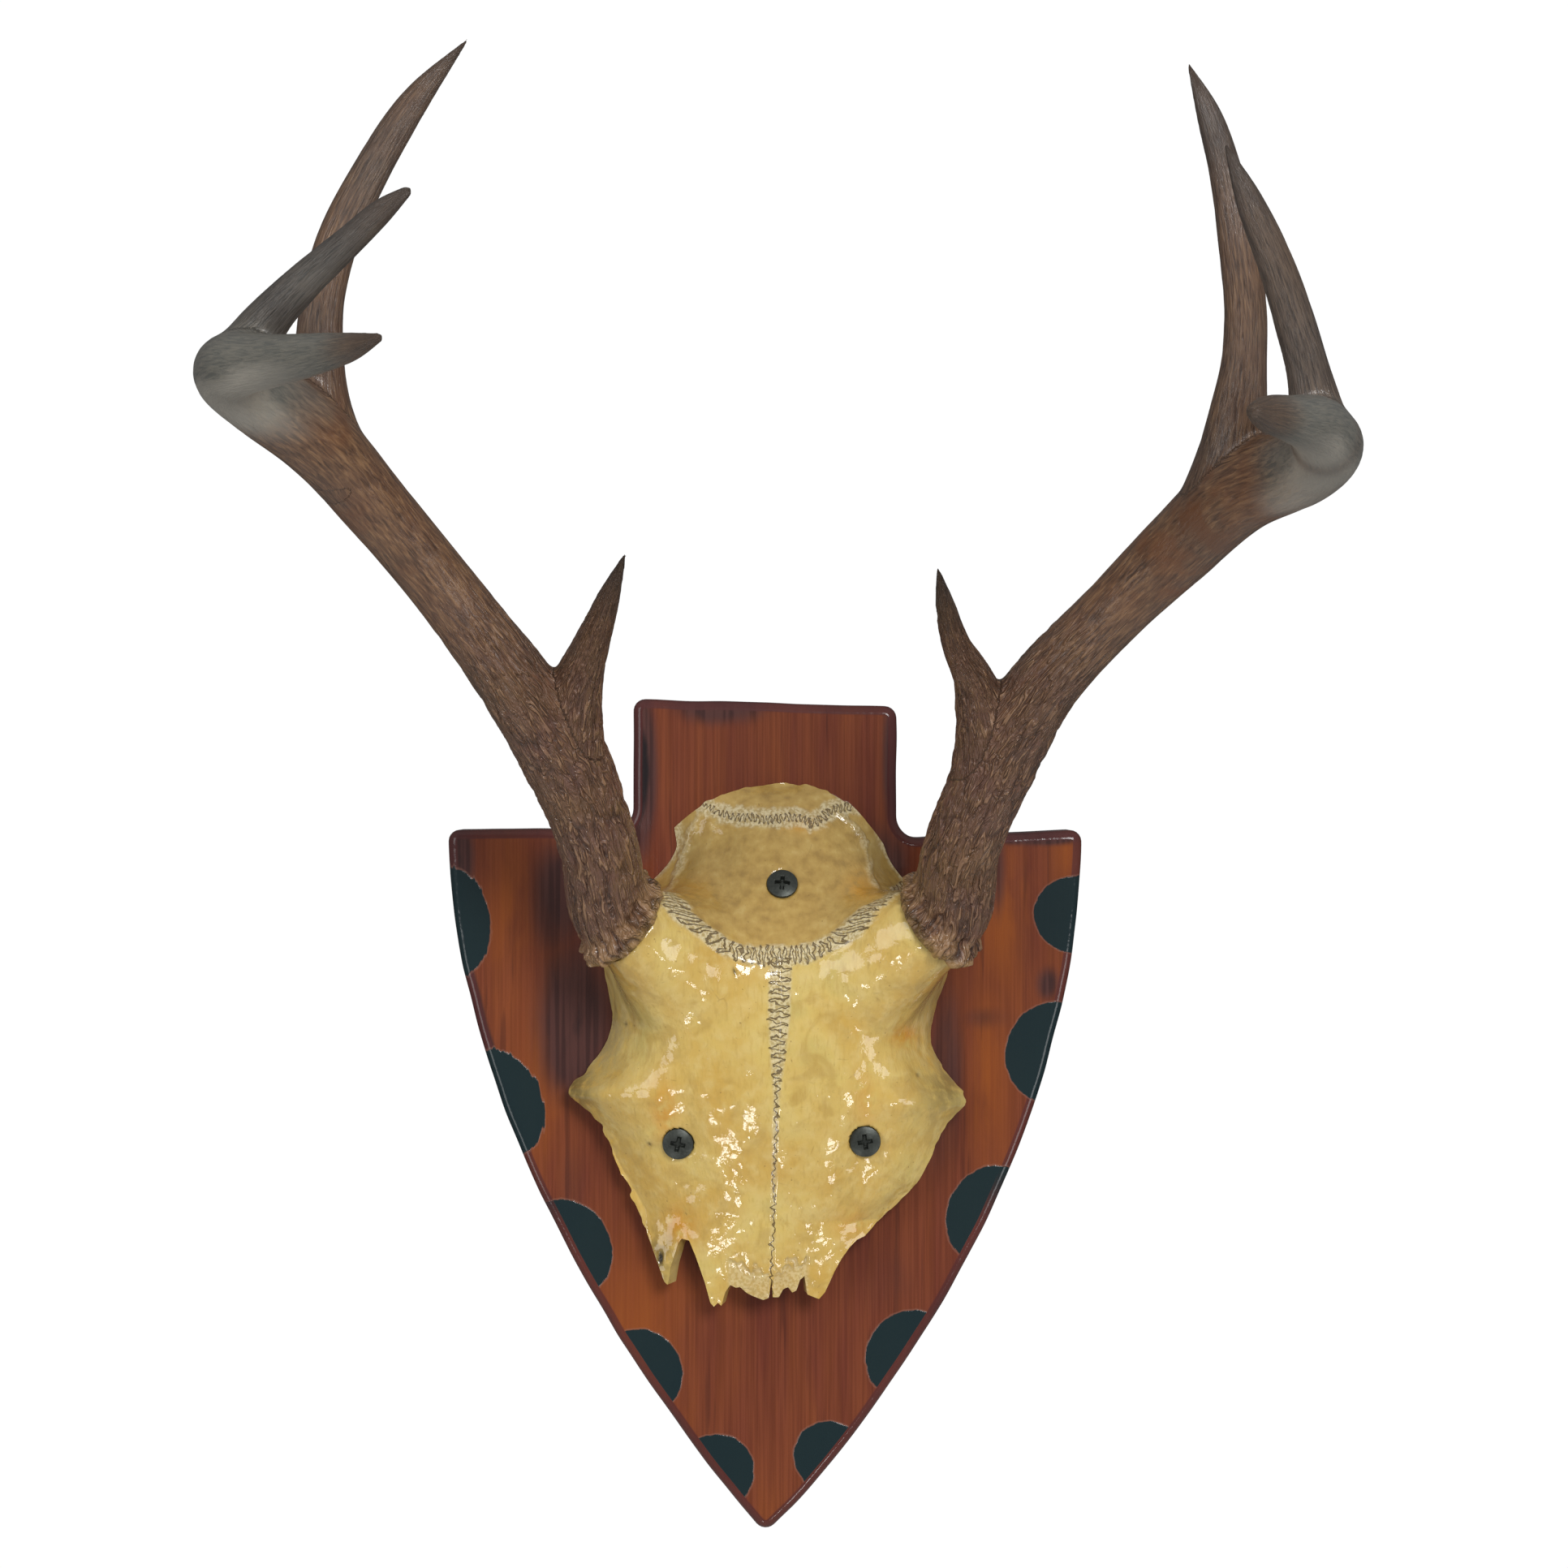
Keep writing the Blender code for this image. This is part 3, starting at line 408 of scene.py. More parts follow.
def grid_faces(rows, columns, closed=False):
    """Quads of a grid numbered row by row; closed joins the last column to the first."""
    across = columns if closed else columns - 1
    row, column = np.meshgrid(np.arange(rows - 1), np.arange(across), indexing="ij")
    after = (column + 1) % columns
    corners = [row * columns + column, (row + 1) * columns + column]
    corners += [(row + 1) * columns + after, row * columns + after]
    return np.stack(corners, axis=-1).reshape(-1, 4)


def place_piece(piece, node, material):
    piece.data.materials.append(material)
    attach(piece, "root")
    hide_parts(node)
    return piece


# Board


def rounded_corner(corner, before, after, radius):
    """Arc tangent to the lines to the points before and after a corner."""
    corner = Vector(corner)
    towards_before = (Vector(before) - corner).normalized()
    towards_after = (Vector(after) - corner).normalized()
    half_angle = towards_before.angle(towards_after) / 2
    middle = (towards_before + towards_after).normalized()
    centre = corner + middle * radius / math.sin(half_angle)
    start = corner + towards_before * radius / math.tan(half_angle) - centre
    end = corner + towards_after * radius / math.tan(half_angle) - centre
    first = math.atan2(start.y, start.x)
    swing = math.remainder(math.atan2(end.y, end.x) - first, math.tau)
    angles = first + swing * np.linspace(0.0, 1.0, ARC_CHORDS + 1)
    return np.array(centre) + radius * np.column_stack([np.cos(angles), np.sin(angles)])


def side_place(side, share, blade, shoulder):
    """Place on a bowed side: half width (1 - share^bow)^fullness of the full one."""
    half_width = (1 - share ** SIDE_BOWS[side]) ** SIDE_FULLNESSES[side] * BOARD_WIDTH / 2
    return np.stack([side * half_width, shoulder - share * blade], axis=-1)


def board_outline():
    """Evenly spaced points round the board: stem, shoulder, bowed side, tip and back up the left."""
    top = BOARD_HEIGHT / 2
    shoulder = top - STEM_HEIGHT
    blade = shoulder + BOARD_HEIGHT / 2
    side_end = 1 - TIP_LENGTH / blade
    ends = [abs(side_place(side, np.array(side_end), blade, shoulder)[0]) for side in (-1, 1)]
    tip_half_angle = math.atan(sum(ends) / 2 / TIP_LENGTH)
    blade += TIP_RADIUS * (1 / math.sin(tip_half_angle) - 1)
    shares = np.linspace(1.3 * CORNER_RADIUS / blade, side_end, SIDE_POINTS)
    right_side = side_place(1, shares, blade, shoulder)
    left_side = side_place(-1, shares, blade, shoulder)[::-1]
    corners = [
        (STEM_WIDTH / 2, top - STEM_SLANT, CORNER_RADIUS),
        (STEM_WIDTH / 2, shoulder - SHOULDER_SLANT, FILLET_RADIUS),
        (BOARD_WIDTH / 2, shoulder, CORNER_RADIUS),
        (0.0, shoulder - blade, TIP_RADIUS),
        (-BOARD_WIDTH / 2, shoulder, CORNER_RADIUS),
        (-STEM_WIDTH / 2, shoulder, FILLET_RADIUS),
        (-STEM_WIDTH / 2, top, CORNER_RADIUS),
    ]
    neighbours = {2: (None, right_side[0]), 3: (right_side[-1], left_side[0]), 4: (left_side[-1], None)}
    pieces = []
    for index, (x, z, radius) in enumerate(corners):
        before, after = neighbours.get(index, (None, None))
        before = corners[index - 1][:2] if before is None else before
        after = corners[(index + 1) % len(corners)][:2] if after is None else after
        pieces.append(rounded_corner((x, z), before, after, radius))
        if index == 2:
            pieces.append(right_side)
        if index == 3:
            pieces.append(left_side)
    loop = np.concatenate(pieces)
    closed = np.concatenate([loop, loop[:1]])
    lengths = np.concatenate([[0.0], np.cumsum(np.linalg.norm(np.diff(closed, axis=0), axis=1))])
    at = np.linspace(0.0, lengths[-1], OUTLINE_POINTS, endpoint=False)
    return np.column_stack([np.interp(at, lengths, closed[:, axis]) for axis in (0, 1)])


def scallop_gap(plan, outline, inward):
    """Signed distance in mm to the nearest scallop's rim, below 0 inside. Each scallop is half an ellipse
    on the edge, its long axis along the edge and its depth square to it."""
    gaps = []
    for side, height, half_length, depth in SCALLOPS:
        on_side = np.where(outline[:, 0] * side > 0, np.abs(outline[:, 1] - height), 1.0)
        nearest = int(np.argmin(on_side))
        away = plan - outline[nearest]
        into = away @ inward[nearest]
        along = away @ np.array([-inward[nearest][1], inward[nearest][0]])
        size = np.sqrt((into / depth) ** 2 + (along / half_length) ** 2)
        gaps.append((size - 1) * min(depth, half_length) / MM)
    return np.min(gaps, axis=0)


def make_board(material):
    """Rings round the outline: back face, side, a quarter-round front edge, and the front face drawn in
    towards a spine on the middle line, each closed by one flat face."""
    outline = board_outline()
    ahead = np.roll(outline, -1, axis=0) - np.roll(outline, 1, axis=0)
    inward = unit(np.column_stack([ahead[:, 1], -ahead[:, 0]]))
    worn = noise(np.column_stack([outline / 0.011, np.zeros(len(outline))]), 3)
    outline = outline + inward * (0.22 + 0.22 * worn[:, None]) * MM
    inset = outline + inward * EDGE_ROUNDING
    spine = np.column_stack([np.zeros(len(outline)), outline[:, 1] * SPINE_SHARE - SPINE_DROP])
    rings = [(outline + inward * 0.6 * MM, 0.0), (outline, 0.6 * MM), (outline, 0.006), (outline, 0.012)]
    for angle in np.linspace(0.0, math.pi / 2, 9):
        drawn_in = EDGE_ROUNDING * (1 - math.cos(angle))
        rise = BOARD_THICKNESS - EDGE_ROUNDING * (1 - math.sin(angle))
        rings.append((outline + inward * drawn_in, rise))
    for share in FACE_REACH * (np.arange(1, FACE_RINGS + 1) / FACE_RINGS) ** 1.5:
        rings.append((inset + (spine - inset) * share, BOARD_THICKNESS))
    plans = np.stack([plan for plan, _ in rings])
    rises = np.broadcast_to(np.array([rise for _, rise in rings])[:, None], plans.shape[:2])
    points = np.stack([plans[..., 0], -rises, plans[..., 1]], axis=-1)
    count = len(outline)
    faces = grid_faces(len(rings), count, closed=True).tolist()
    faces.append(list(range(count)))
    faces.append(list(range((len(rings) - 1) * count, len(rings) * count))[::-1])
    x, z = plans[..., 0], plans[..., 1]
    edge = gap_to_path(plans, outline) / MM
    left_edge = smooth_step(5.0, 1.5, edge) * (x < 0) * smooth_step(-0.006, 0.004, z) * smooth_step(0.052, 0.042, z)
    in_front = rises > 1.0 * MM
    attributes = {
        "scallop_gap": np.where(in_front, scallop_gap(plans, outline, inward), 9.0),
        "edge_gap": np.where(rises < BOARD_THICKNESS - 1e-6, 0.0, edge),
        "side": np.where(x < 0, 1.0, 0.0) * smooth_step(-0.02, 0.0, z) * in_front,
        "wrap": smooth_step(-0.035, -0.015, z) * in_front,
        # Dark: stain, the burnt left edge, and painted shadow of the skull cap beside it
        "dark": np.maximum(patches(x, z, DARK_STAINS_AND_SHADOWS), 0.9 * left_edge) * in_front,
        "light": patches(x, z, LIGHT_STAINS) * in_front,
    }
    board = mesh_object("board", points.reshape(-1, 3), faces, attributes, sharp_degrees=50)
    return place_piece(board, "plaque_board", material)


# Skull cap


def midline_at(share):
    return MIDLINE_AT_NAPE + MIDLINE_DRIFT * share


def skull_height(x, drop):
    """Height of the bone's outer face over the board: an arched section between the midline's rise and the
    rim's, with a furrow and a swelling on each side that fade out at the rim."""
    share = drop / SKULL_LENGTH
    across = x - midline_at(share)
    left_width = read_table(LEFT_OUTLINE, share)
    right_width = read_table(RIGHT_OUTLINE, share)
    half_width = np.where(across < 0, left_width, right_width) * SKULL_HALF_SPAN
    place = np.clip(np.abs(across) / half_width, 0.0, 1.0)
    arch = 1 - place ** read_table(SECTION_SQUARENESS, share)
    middle = read_table(MIDLINE_RISE, share) * SKULL_PEAK
    rim = np.maximum(read_table(RIM_RISE, share), 0.0) * SKULL_PEAK
    from_furrow = (np.abs(across) - FURROW_SPAN / 2) / FURROW_WIDTH
    along_furrow = (share - FURROW_MIDDLE) / FURROW_REACH
    furrow = FURROW_DEPTH * np.exp(-(from_furrow**2) - along_furrow**2)
    from_boss = (np.abs(across) - BOSS_SPAN / 2) / BOSS_SPREAD
    along_boss = (share - BOSS_MIDDLE) * SKULL_LENGTH / BOSS_SPREAD
    boss = BOSS_RISE * np.exp(-(from_boss**2) - along_boss**2)
    return CONTACT_GAP + rim + (middle - rim + boss - furrow) * arch


def skull_plan(u, v):
    """Place across and drop from the nape for u from the left edge to the right and v from nape to nose."""
    left = np.array(LEFT_OUTLINE)
    right = np.array(RIGHT_OUTLINE)
    top = np.where(u < 0, left[0, 0], right[0, 0]) * np.abs(u) ** NAPE_ARCH
    corner = np.where(u < 0, left[-1, 0], right[-1, 0])
    arch = corner + (NOSE_ARCH_SHARE - corner) * (1 - np.abs(u) ** NOSE_ARCH)
    edge_x, edge_up = np.array(NOSE_EDGE).T
    end_share = midline_at(1.0)
    half_widths = np.where(u < 0, end_share - edge_x[0], edge_x[-1] - end_share)
    edge_share = (SKULL_NAPE_HEIGHT - np.interp(end_share + u * half_widths, edge_x, edge_up)) / SKULL_LENGTH
    broken = (edge_share - arch) * smooth_step(NOSE_BREAK, 1.0, v)
    chipped = 0.0040 * np.minimum(noise(np.stack([u * 14, v * 0, v * 0], axis=-1), 31), 0.1) * smooth_step(0.05, 0.0, v)
    share = top + (arch - top) * v + broken + chipped
    left_share = left[0, 0] + (left[-1, 0] - left[0, 0]) * v
    right_share = right[0, 0] + (right[-1, 0] - right[0, 0]) * v
    left_edge = midline_at(left_share) - read_table(left, left_share) * SKULL_HALF_SPAN
    right_edge = midline_at(right_share) + read_table(right, right_share) * SKULL_HALF_SPAN
    fray = 0.007 * noise(np.stack([v * 70, u > 0, v * 0], axis=-1), 32)
    fray = fray + 0.045 * np.minimum(noise(np.stack([v * 45, u > 0, v * 0], axis=-1), 33) + 0.35, 0.0)
    fray = (fray - 0.004) * (0.15 + 0.85 * smooth_step(0.56, 0.72, v))
    reach = np.abs(u) * (1 + fray * smooth_step(0.86, 1.0, np.abs(u)))
    x = midline_at(share) * (1 - reach) + np.where(u < 0, left_edge, right_edge) * reach
    return x, share * SKULL_LENGTH


def skull_point(x, height, drop):
    """Place in the row's frame of a point over the skull's plan."""
    return np.stack([x, -BOARD_THICKNESS - height, SKULL_NAPE_HEIGHT - drop], axis=-1)


def seat_of(side):
    """Middle of a burr's seat and the way it faces; side is -1 left and 1 right."""
    outwards, out, up = SEAT_DIRECTION
    across = midline_at(SEAT_DROP / SKULL_LENGTH) + side * SEAT_SPAN / 2
    return skull_point(across, SEAT_RISE, SEAT_DROP), unit(np.array([side * outwards, -out, up]))


def raise_pedicles(points):
    """Slide each point along a seat's direction: onto the seat's plane within the pedicle's radius, and
    by a share (1 - t)^3 of the way over the flare round it."""
    for side in (-1, 1):
        seat, direction = seat_of(side)
        away = points - seat
        above = away @ direction
        radius = np.linalg.norm(away - above[..., None] * direction, axis=-1)
        share = np.clip((radius - PEDICLE_RADIUS) / PEDICLE_FLARE, 0.0, 1.0)
        near = smooth_step(2.6 * PEDICLE_RADIUS, 1.4 * PEDICLE_RADIUS, np.abs(above))
        points = points - (above * (1 - share) ** 3 * near)[..., None] * direction
    return points


def sink_screws(points):
    """Countersink the bone round each screw: within the head's radius it falls square to the head, as a
    45 degree cone, to below the recess."""
    for across, drop, tilt, _ in SCREWS.values():
        place, facing = screw_seat(across, drop, tilt)
        away = points - place
        above = away @ facing
        radius = np.linalg.norm(away - above[..., None] * facing, axis=-1)
        floor = -np.clip((SCREW_HEAD_RADIUS + 0.25 * MM - radius) * 1.05, 0.0, SCREW_HEAD_CONE + 0.3 * MM)
        sunk = np.minimum(above, floor) - above
        inside = (radius < SCREW_HEAD_RADIUS + 0.25 * MM) & (np.abs(above) < 5 * MM)
        points = points + np.where(inside, sunk, 0.0)[..., None] * facing
    return points


def seam_frame(plan, points, sways):
    """For each place of the plan: the distance along a seam's curve, the distance across it, and the seam's
    sway, all in mm. Sways is a table of (share of the seam, sway in mm)."""
    line = path_through(points, 400)
    ahead = unit(np.gradient(line, axis=0))
    lengths = np.concatenate([[0.0], np.cumsum(np.linalg.norm(np.diff(line, axis=0), axis=1))])
    flat = plan.reshape(-1, 2)
    nearest = np.concatenate([
        ((block[:, None, :] - line[None, :, :]) ** 2).sum(axis=-1).argmin(axis=1)
        for block in np.array_split(flat, max(1, len(flat) // 3000))
    ])
    away = flat - line[nearest]
    along = lengths[nearest] + (away * ahead[nearest]).sum(axis=-1)
    across = away[:, 0] * ahead[nearest, 1] - away[:, 1] * ahead[nearest, 0]
    places, widths = np.array(sways).T
    sway = np.interp(lengths[nearest] / lengths[-1], places, widths)
    return np.column_stack([along / MM, across / MM, sway]).reshape(*plan.shape[:-1], 3)


def grid_normals(points):
    """Outward unit normals of a grid of points, from the cross product of its two slopes."""
    return unit(np.cross(np.gradient(points, axis=0), np.gradient(points, axis=1)))


def join_rims(fine, coarse, step):
    """Triangles between a fine border and a coarse one that has a point for every step of it."""
    count = len(coarse)
    triangles = []
    for part in range(step):
        start = fine[part::step]
        end = np.roll(fine, -1)[part::step]
        apex = coarse if part < step // 2 else np.roll(coarse, -1)
        triangles.append(np.column_stack([start, apex, end]))
    middle = fine[step // 2 :: step]
    triangles.append(np.column_stack([middle, coarse, np.roll(coarse, -1)]))
    assert all(len(part) == count for part in triangles)
    return np.concatenate(triangles)


def border_of(rows, columns):
    """Numbers of a grid's border points: along the top, down the right, back along the foot and up."""
    grid = np.arange(rows * columns).reshape(rows, columns)
    return np.concatenate([grid[0, :-1], grid[:-1, -1], grid[-1, :0:-1], grid[:0:-1, 0]])


def make_skull(material):
    """Outer face on a fine grid with its pedicles and seams, inner face on a coarse one, and a rim."""
    rows, columns = SKULL_ROWS + 1, SKULL_COLUMNS + 1
    u, v = np.meshgrid(np.linspace(-1, 1, columns), np.linspace(0, 1, rows))
    x, drop = skull_plan(u, v)
    height = skull_height(x, drop)
    up = SKULL_NAPE_HEIGHT - drop
    plan = np.stack([x, up], axis=-1)
    points = raise_pedicles(skull_point(x, height, drop))
    normals = grid_normals(points)
    inside = np.minimum(np.minimum(u + 1, 1 - u) * 14, np.minimum(v, 1 - v) * 30)
    inside = np.clip(inside, 0.0, 1.0)

    crown = seam_frame(plan, CROWN_SEAM, ((0.0, 0.7), (0.2, 1.9), (0.5, 2.5), (0.8, 2.0), (1.0, 0.6)))
    midline = seam_frame(plan, MIDLINE_SEAM, (
        (0.0, 2.9), (0.165, 2.7), (0.27, 1.9), (0.34, 1.1), (0.40, 0.5), (0.55, 0.4), (1.0, 0.25)))
    nape = seam_frame(plan, NAPE_SEAM, ((0.0, 0.8), (0.5, 1.0), (1.0, 1.0)))
    ridges = np.min([gap_to_path(plan, path_through(ridge, 80)) for ridge in TEMPLE_RIDGES], axis=0) / MM

    ragged = noise(np.concatenate([plan / (1.3 * MM), np.ones_like(plan[..., :1])], axis=-1), 7)
    gap_to_midline = np.abs(midline[..., 1])
    band = smooth_step(0.9, -0.2, np.abs(crown[..., 1]) - crown[..., 2] + 0.5 * ragged)
    band *= smooth_step(-1.5, 0.5, crown[..., 0]) * smooth_step(77.0, 74.0, crown[..., 0])
    below_crown = smooth_step(0.0478, 0.0462, up)
    chalk = smooth_step(0.9, -0.3, gap_to_midline - midline[..., 2]) * smooth_step(-0.070, 0.018, up) * below_crown
    wrinkle = smooth_step(1.5, 0.1, ridges + 0.7 * ragged)
    ledge = smooth_step(NOSE_LEDGE_SHARE - 0.004, NOSE_LEDGE_SHARE + 0.004, v + 0.018 * ragged)
    ledge *= smooth_step(NOSE_LEDGE_REACH, NOSE_LEDGE_REACH * 0.85, np.abs(x - midline_at(1.0) + 0.0005))
    ledge *= smooth_step(0.4, 1.0, gap_to_midline)
    nape_band = smooth_step(0.9, -0.2, np.abs(nape[..., 1]) - 2.3 + 0.8 * ragged)
    worn_edge = smooth_step(0.88, 0.98, np.abs(u) + 0.03 * ragged) * smooth_step(0.26, 0.18, v)
    swell = noise(points / 0.013, 11)
    lumps = noise(points / 0.0060, 13)
    fine = noise(points / 0.0027, 12)
    rough_rim = smooth_step(0.90, 1.0, np.abs(u)) * smooth_step(0.55, 0.8, v)
    relief = 0.34 * swell + 0.26 * lumps + 0.09 * fine + 0.35 * band + 0.50 * wrinkle - 0.60 * ledge
    relief += rough_rim * 0.35 * ragged - 0.25 * np.exp(-((gap_to_midline / 0.5) ** 2)) * below_crown
    relief -= patches(x, up, PITS)
    outer = points + normals * (relief * inside * MM)[..., None]
    outer = sink_screws(outer)
    outer[..., 1] = np.minimum(outer[..., 1], -BOARD_THICKNESS - CONTACT_GAP)

    coarse = slice(None, None, INNER_STEP)
    midline_x = midline_at(drop / SKULL_LENGTH)
    inner_x = midline_x + (x - midline_x) * (1 - BONE_THICKNESS / SKULL_HALF_SPAN)
    inner_height = np.maximum(height - BONE_THICKNESS, CONTACT_GAP)
    inner = skull_point(inner_x, inner_height, drop)[coarse, coarse]
    all_points = np.concatenate([outer.reshape(-1, 3), inner.reshape(-1, 3)])
    count = rows * columns
    inner_rows, inner_columns = inner.shape[:2]
    front = grid_faces(rows, columns)
    back = grid_faces(inner_rows, inner_columns)[:, ::-1] + count
    rim = join_rims(border_of(rows, columns), border_of(inner_rows, inner_columns) + count, INNER_STEP)

    parietal = smooth_step(-0.002, 0.004, up - np.interp(x, *np.array(CROWN_SEAM).T))
    # Painted light: a paler colour on the steep sides of the skull cap, lifting the shade they fall into.
    flank_painted_light = smooth_step(0.78, 0.99, np.abs(u)) * smooth_step(-0.004, 0.010, up) * (1 - parietal)
    painted = {
        "crown_seam": crown,
        "midline_seam": midline + np.array([0.0, 0.0, 1.0]) * np.where(up > 0.0476, -9.0, 0.0)[..., None],
        "nape_seam": nape,
        "band": np.max([band, 0.55 * wrinkle, 0.9 * chalk, 0.9 * nape_band, 0.8 * worn_edge, 0.5 * ledge], axis=0),
        "tan": parietal,
        "flank_painted_light": flank_painted_light,
        "orange_stain": patches(x, up, ORANGE_STAINS),
        # Olive: part stain, part painted shade on the splinter and the side walls that turn away
        "olive_stain_and_shade": patches(x, up, OLIVE_STAINS_AND_SHADE),
        # Painted shade: the pits are coloured near black
        "pit_painted_shade": np.clip(patches(x, up, PITS) * 1.6, 0.0, 1.0),
    }
    hidden = {"crown_seam": -9.0, "midline_seam": -9.0, "nape_seam": -9.0, "tan": 0.6, "olive_stain_and_shade": 0.2}
    attributes = {}
    for name, values in painted.items():
        flat = values.reshape(rows * columns, -1)
        behind = np.full((inner_rows * inner_columns, flat.shape[1]), hidden.get(name, 0.0))
        whole = np.concatenate([flat, behind])
        attributes[name] = whole if whole.shape[1] == 3 else whole[:, 0]
    faces = front.tolist() + back.tolist() + rim.tolist()
    skull = mesh_object("skull", all_points, faces, attributes, sharp_degrees=65)
    return place_piece(skull, "skull_cap", material)


# Antlers


class Branch:
    """Path of a beam or tine: its points, lengths along it, girths, and two directions square to it that
    don't twist."""

    def __init__(self, stations, seat, side, height, lead=None):
        stations = np.array(stations)
        places = seat + stations[:, :3] * height / 100 * np.array([side, -1, 1])
        knots = np.concatenate([[0.0], np.cumsum(np.linalg.norm(np.diff(places, axis=0), axis=1))])
        count = int(knots[-1] / PATH_STEP)
        at = np.linspace(0.0, knots[-1], count)
        self.points = smooth_through(knots, places, at)
        self.radii = smooth_through(knots, stations[:, 3], at) * BEAM_RADIUS
        if lead is not None:
            straight = seat + lead * at[:, None]
            share = smooth_step(0.0, 2 * BURR_THICKNESS, at)[:, None]
            self.points = straight * (1 - share) + self.points * share
        self.along = at
        self.ahead = unit(np.gradient(self.points, axis=0))
        first = unit(np.cross(self.ahead[0], [0.0, 1.0, 0.0]))
        beside = [first]
        for ahead in self.ahead[1:]:
            beside.append(unit(beside[-1] - ahead * (beside[-1] @ ahead)))
        self.beside = np.array(beside)
        self.over = np.cross(self.ahead, self.beside)

    def tube(self):
        """Closed tube round the path, with a pole at each end."""
        angles = np.linspace(0.0, math.tau, TUBE_SIDES, endpoint=False)
        across = np.cos(angles)[None, :, None] * self.beside[:, None, :]
        across = across + np.sin(angles)[None, :, None] * self.over[:, None, :]
        rings = self.points[:, None, :] + across * self.radii[:, None, None]
        end = self.points[-1] + self.ahead[-1] * self.radii[-1] * 0.8
        points = np.concatenate([rings.reshape(-1, 3), self.points[:1], end[None]])
        rows = len(self.points)
        faces = grid_faces(rows, TUBE_SIDES, closed=True).tolist()
        first, last = np.arange(TUBE_SIDES), np.arange(TUBE_SIDES) + (rows - 1) * TUBE_SIDES
        base, tip = rows * TUBE_SIDES, rows * TUBE_SIDES + 1
        faces += np.column_stack([np.full(TUBE_SIDES, base), first, np.roll(first, -1)]).tolist()
        faces += np.column_stack([np.full(TUBE_SIDES, tip), np.roll(last, -1), last]).tolist()
        return points, faces

    def coordinates(self, points):
        """For each point: the distance along the path, its two shares round it, and its depth over the skin."""
        nearest = np.concatenate([
            ((block[:, None, :] - self.points[None, :, :]) ** 2).sum(axis=-1).argmin(axis=1)
            for block in np.array_split(points, max(1, len(points) // 3000))
        ])
        away = points - self.points[nearest]
        forward = (away * self.ahead[nearest]).sum(axis=-1)
        side = (away * self.beside[nearest]).sum(axis=-1)
        over = (away * self.over[nearest]).sum(axis=-1)
        distance = np.hypot(side, over)
        spread = np.maximum(distance, 1e-6)
        depth = np.linalg.norm(away, axis=-1) - self.radii[nearest]
        return self.along[nearest] + forward, side / spread, over / spread, depth, self.radii[nearest]


def burr_ring(seat, direction):
    """Ring round the antler's foot, knobbly round its outside: a circle carried round, its radius swelling
    with the sine of the knobs' angle. Its lower side lies on the seat."""
    beside = unit(np.cross(direction, [0.0, 1.0, 0.0]))
    over = np.cross(direction, beside)
    turn, round_angle = np.meshgrid(
        np.linspace(0, math.tau, 160, endpoint=False), np.linspace(0, math.tau, 20, endpoint=False), indexing="ij"
    )
    knob = 1 + 0.13 * np.sin(BURR_KNOBS * turn) + 0.09 * np.sin(7 * turn + 1.0)
    thick = BURR_THICKNESS / 2 * (1 + 0.10 * np.sin(BURR_KNOBS * turn + 0.7))
    radius = BURR_RADIUS + thick * np.cos(round_angle) * knob * 0.94
    rise = BURR_THICKNESS / 2 + np.minimum(thick, BURR_THICKNESS / 2) * np.sin(round_angle)
    round_seat = np.cos(turn)[..., None] * beside + np.sin(turn)[..., None] * over
    points = seat + round_seat * radius[..., None] + direction * rise[..., None]
    rows, columns = points.shape[:2]
    faces = grid_faces(rows, columns, closed=True)
    seam = np.arange(columns)
    last = (rows - 1) * columns + seam
    wrap = np.column_stack([last, seam, np.roll(seam, -1), np.roll(last, -1)])
    return points.reshape(-1, 3), np.concatenate([faces, wrap]).tolist()


def one_skin(shells):
    """Points and faces of the single skin round overlapping closed shells, in cells of SKIN_CELL."""
    offset = 0
    points, faces = [], []
    for shell_points, shell_faces in shells:
        points.append(shell_points)
        faces += [[corner + offset for corner in face] for face in shell_faces]
        offset += len(shell_points)
    rough = mesh_object("antler_rough", np.concatenate(points), faces)
    remesh = rough.modifiers.new("one skin", "REMESH")
    remesh.mode = "VOXEL"
    remesh.voxel_size = SKIN_CELL
    evaluated = rough.evaluated_get(bpy.context.evaluated_depsgraph_get())
    mesh = evaluated.to_mesh()
    skin = np.empty(len(mesh.vertices) * 3)
    mesh.vertices.foreach_get("co", skin)
    corners = np.empty(len(mesh.loops), int)
    mesh.loops.foreach_get("vertex_index", corners)
    evaluated.to_mesh_clear()
    bpy.data.meshes.remove(rough.data)
    return skin.reshape(-1, 3), corners.reshape(-1, 4)


def neighbour_mean(values, faces, count):
    """Mean over each vertex's neighbours along its faces' edges."""
    start = faces.ravel()
    end = np.roll(faces, -1, axis=1).ravel()
    number = np.bincount(start, minlength=count) + np.bincount(end, minlength=count)
    mean = np.empty_like(values)
    for axis in range(values.shape[1]):
        total = np.bincount(start, values[end, axis], count) + np.bincount(end, values[start, axis], count)
        mean[:, axis] = total / number
    return mean


def skin_normals(points, faces):
    """Unit normals at the vertices, from the faces' diagonals."""
    normal = np.cross(points[faces[:, 2]] - points[faces[:, 0]], points[faces[:, 3]] - points[faces[:, 1]])
    total = np.zeros_like(points)
    for corner in range(4):
        for axis in range(3):
            total[:, axis] += np.bincount(faces[:, corner], normal[:, axis], len(points))
    return unit(total)


def bark(along, side, over, seed):
    """Wrinkles along a beam in shares of their depth: the distance from the zero lines of two noises that
    are drawn out along the beam and wander round it, so crests are round and the grooves a sharp net."""
    wander = noise(np.column_stack([side * 2.2, over * 2.2, along / 0.010]), seed) * 0.8
    round_places = np.column_stack([side * 10, over * 10]) / 1.75
    places = np.column_stack([round_places + wander[:, None], along / 0.0125])
    wrinkles = np.abs(noise(places, seed + 1))
    broad = np.abs(noise(places * np.array([0.55, 0.55, 0.7]), seed + 2))
    return np.clip(2.6 * wrinkles + 0.6 * broad, 0.0, 1.0)


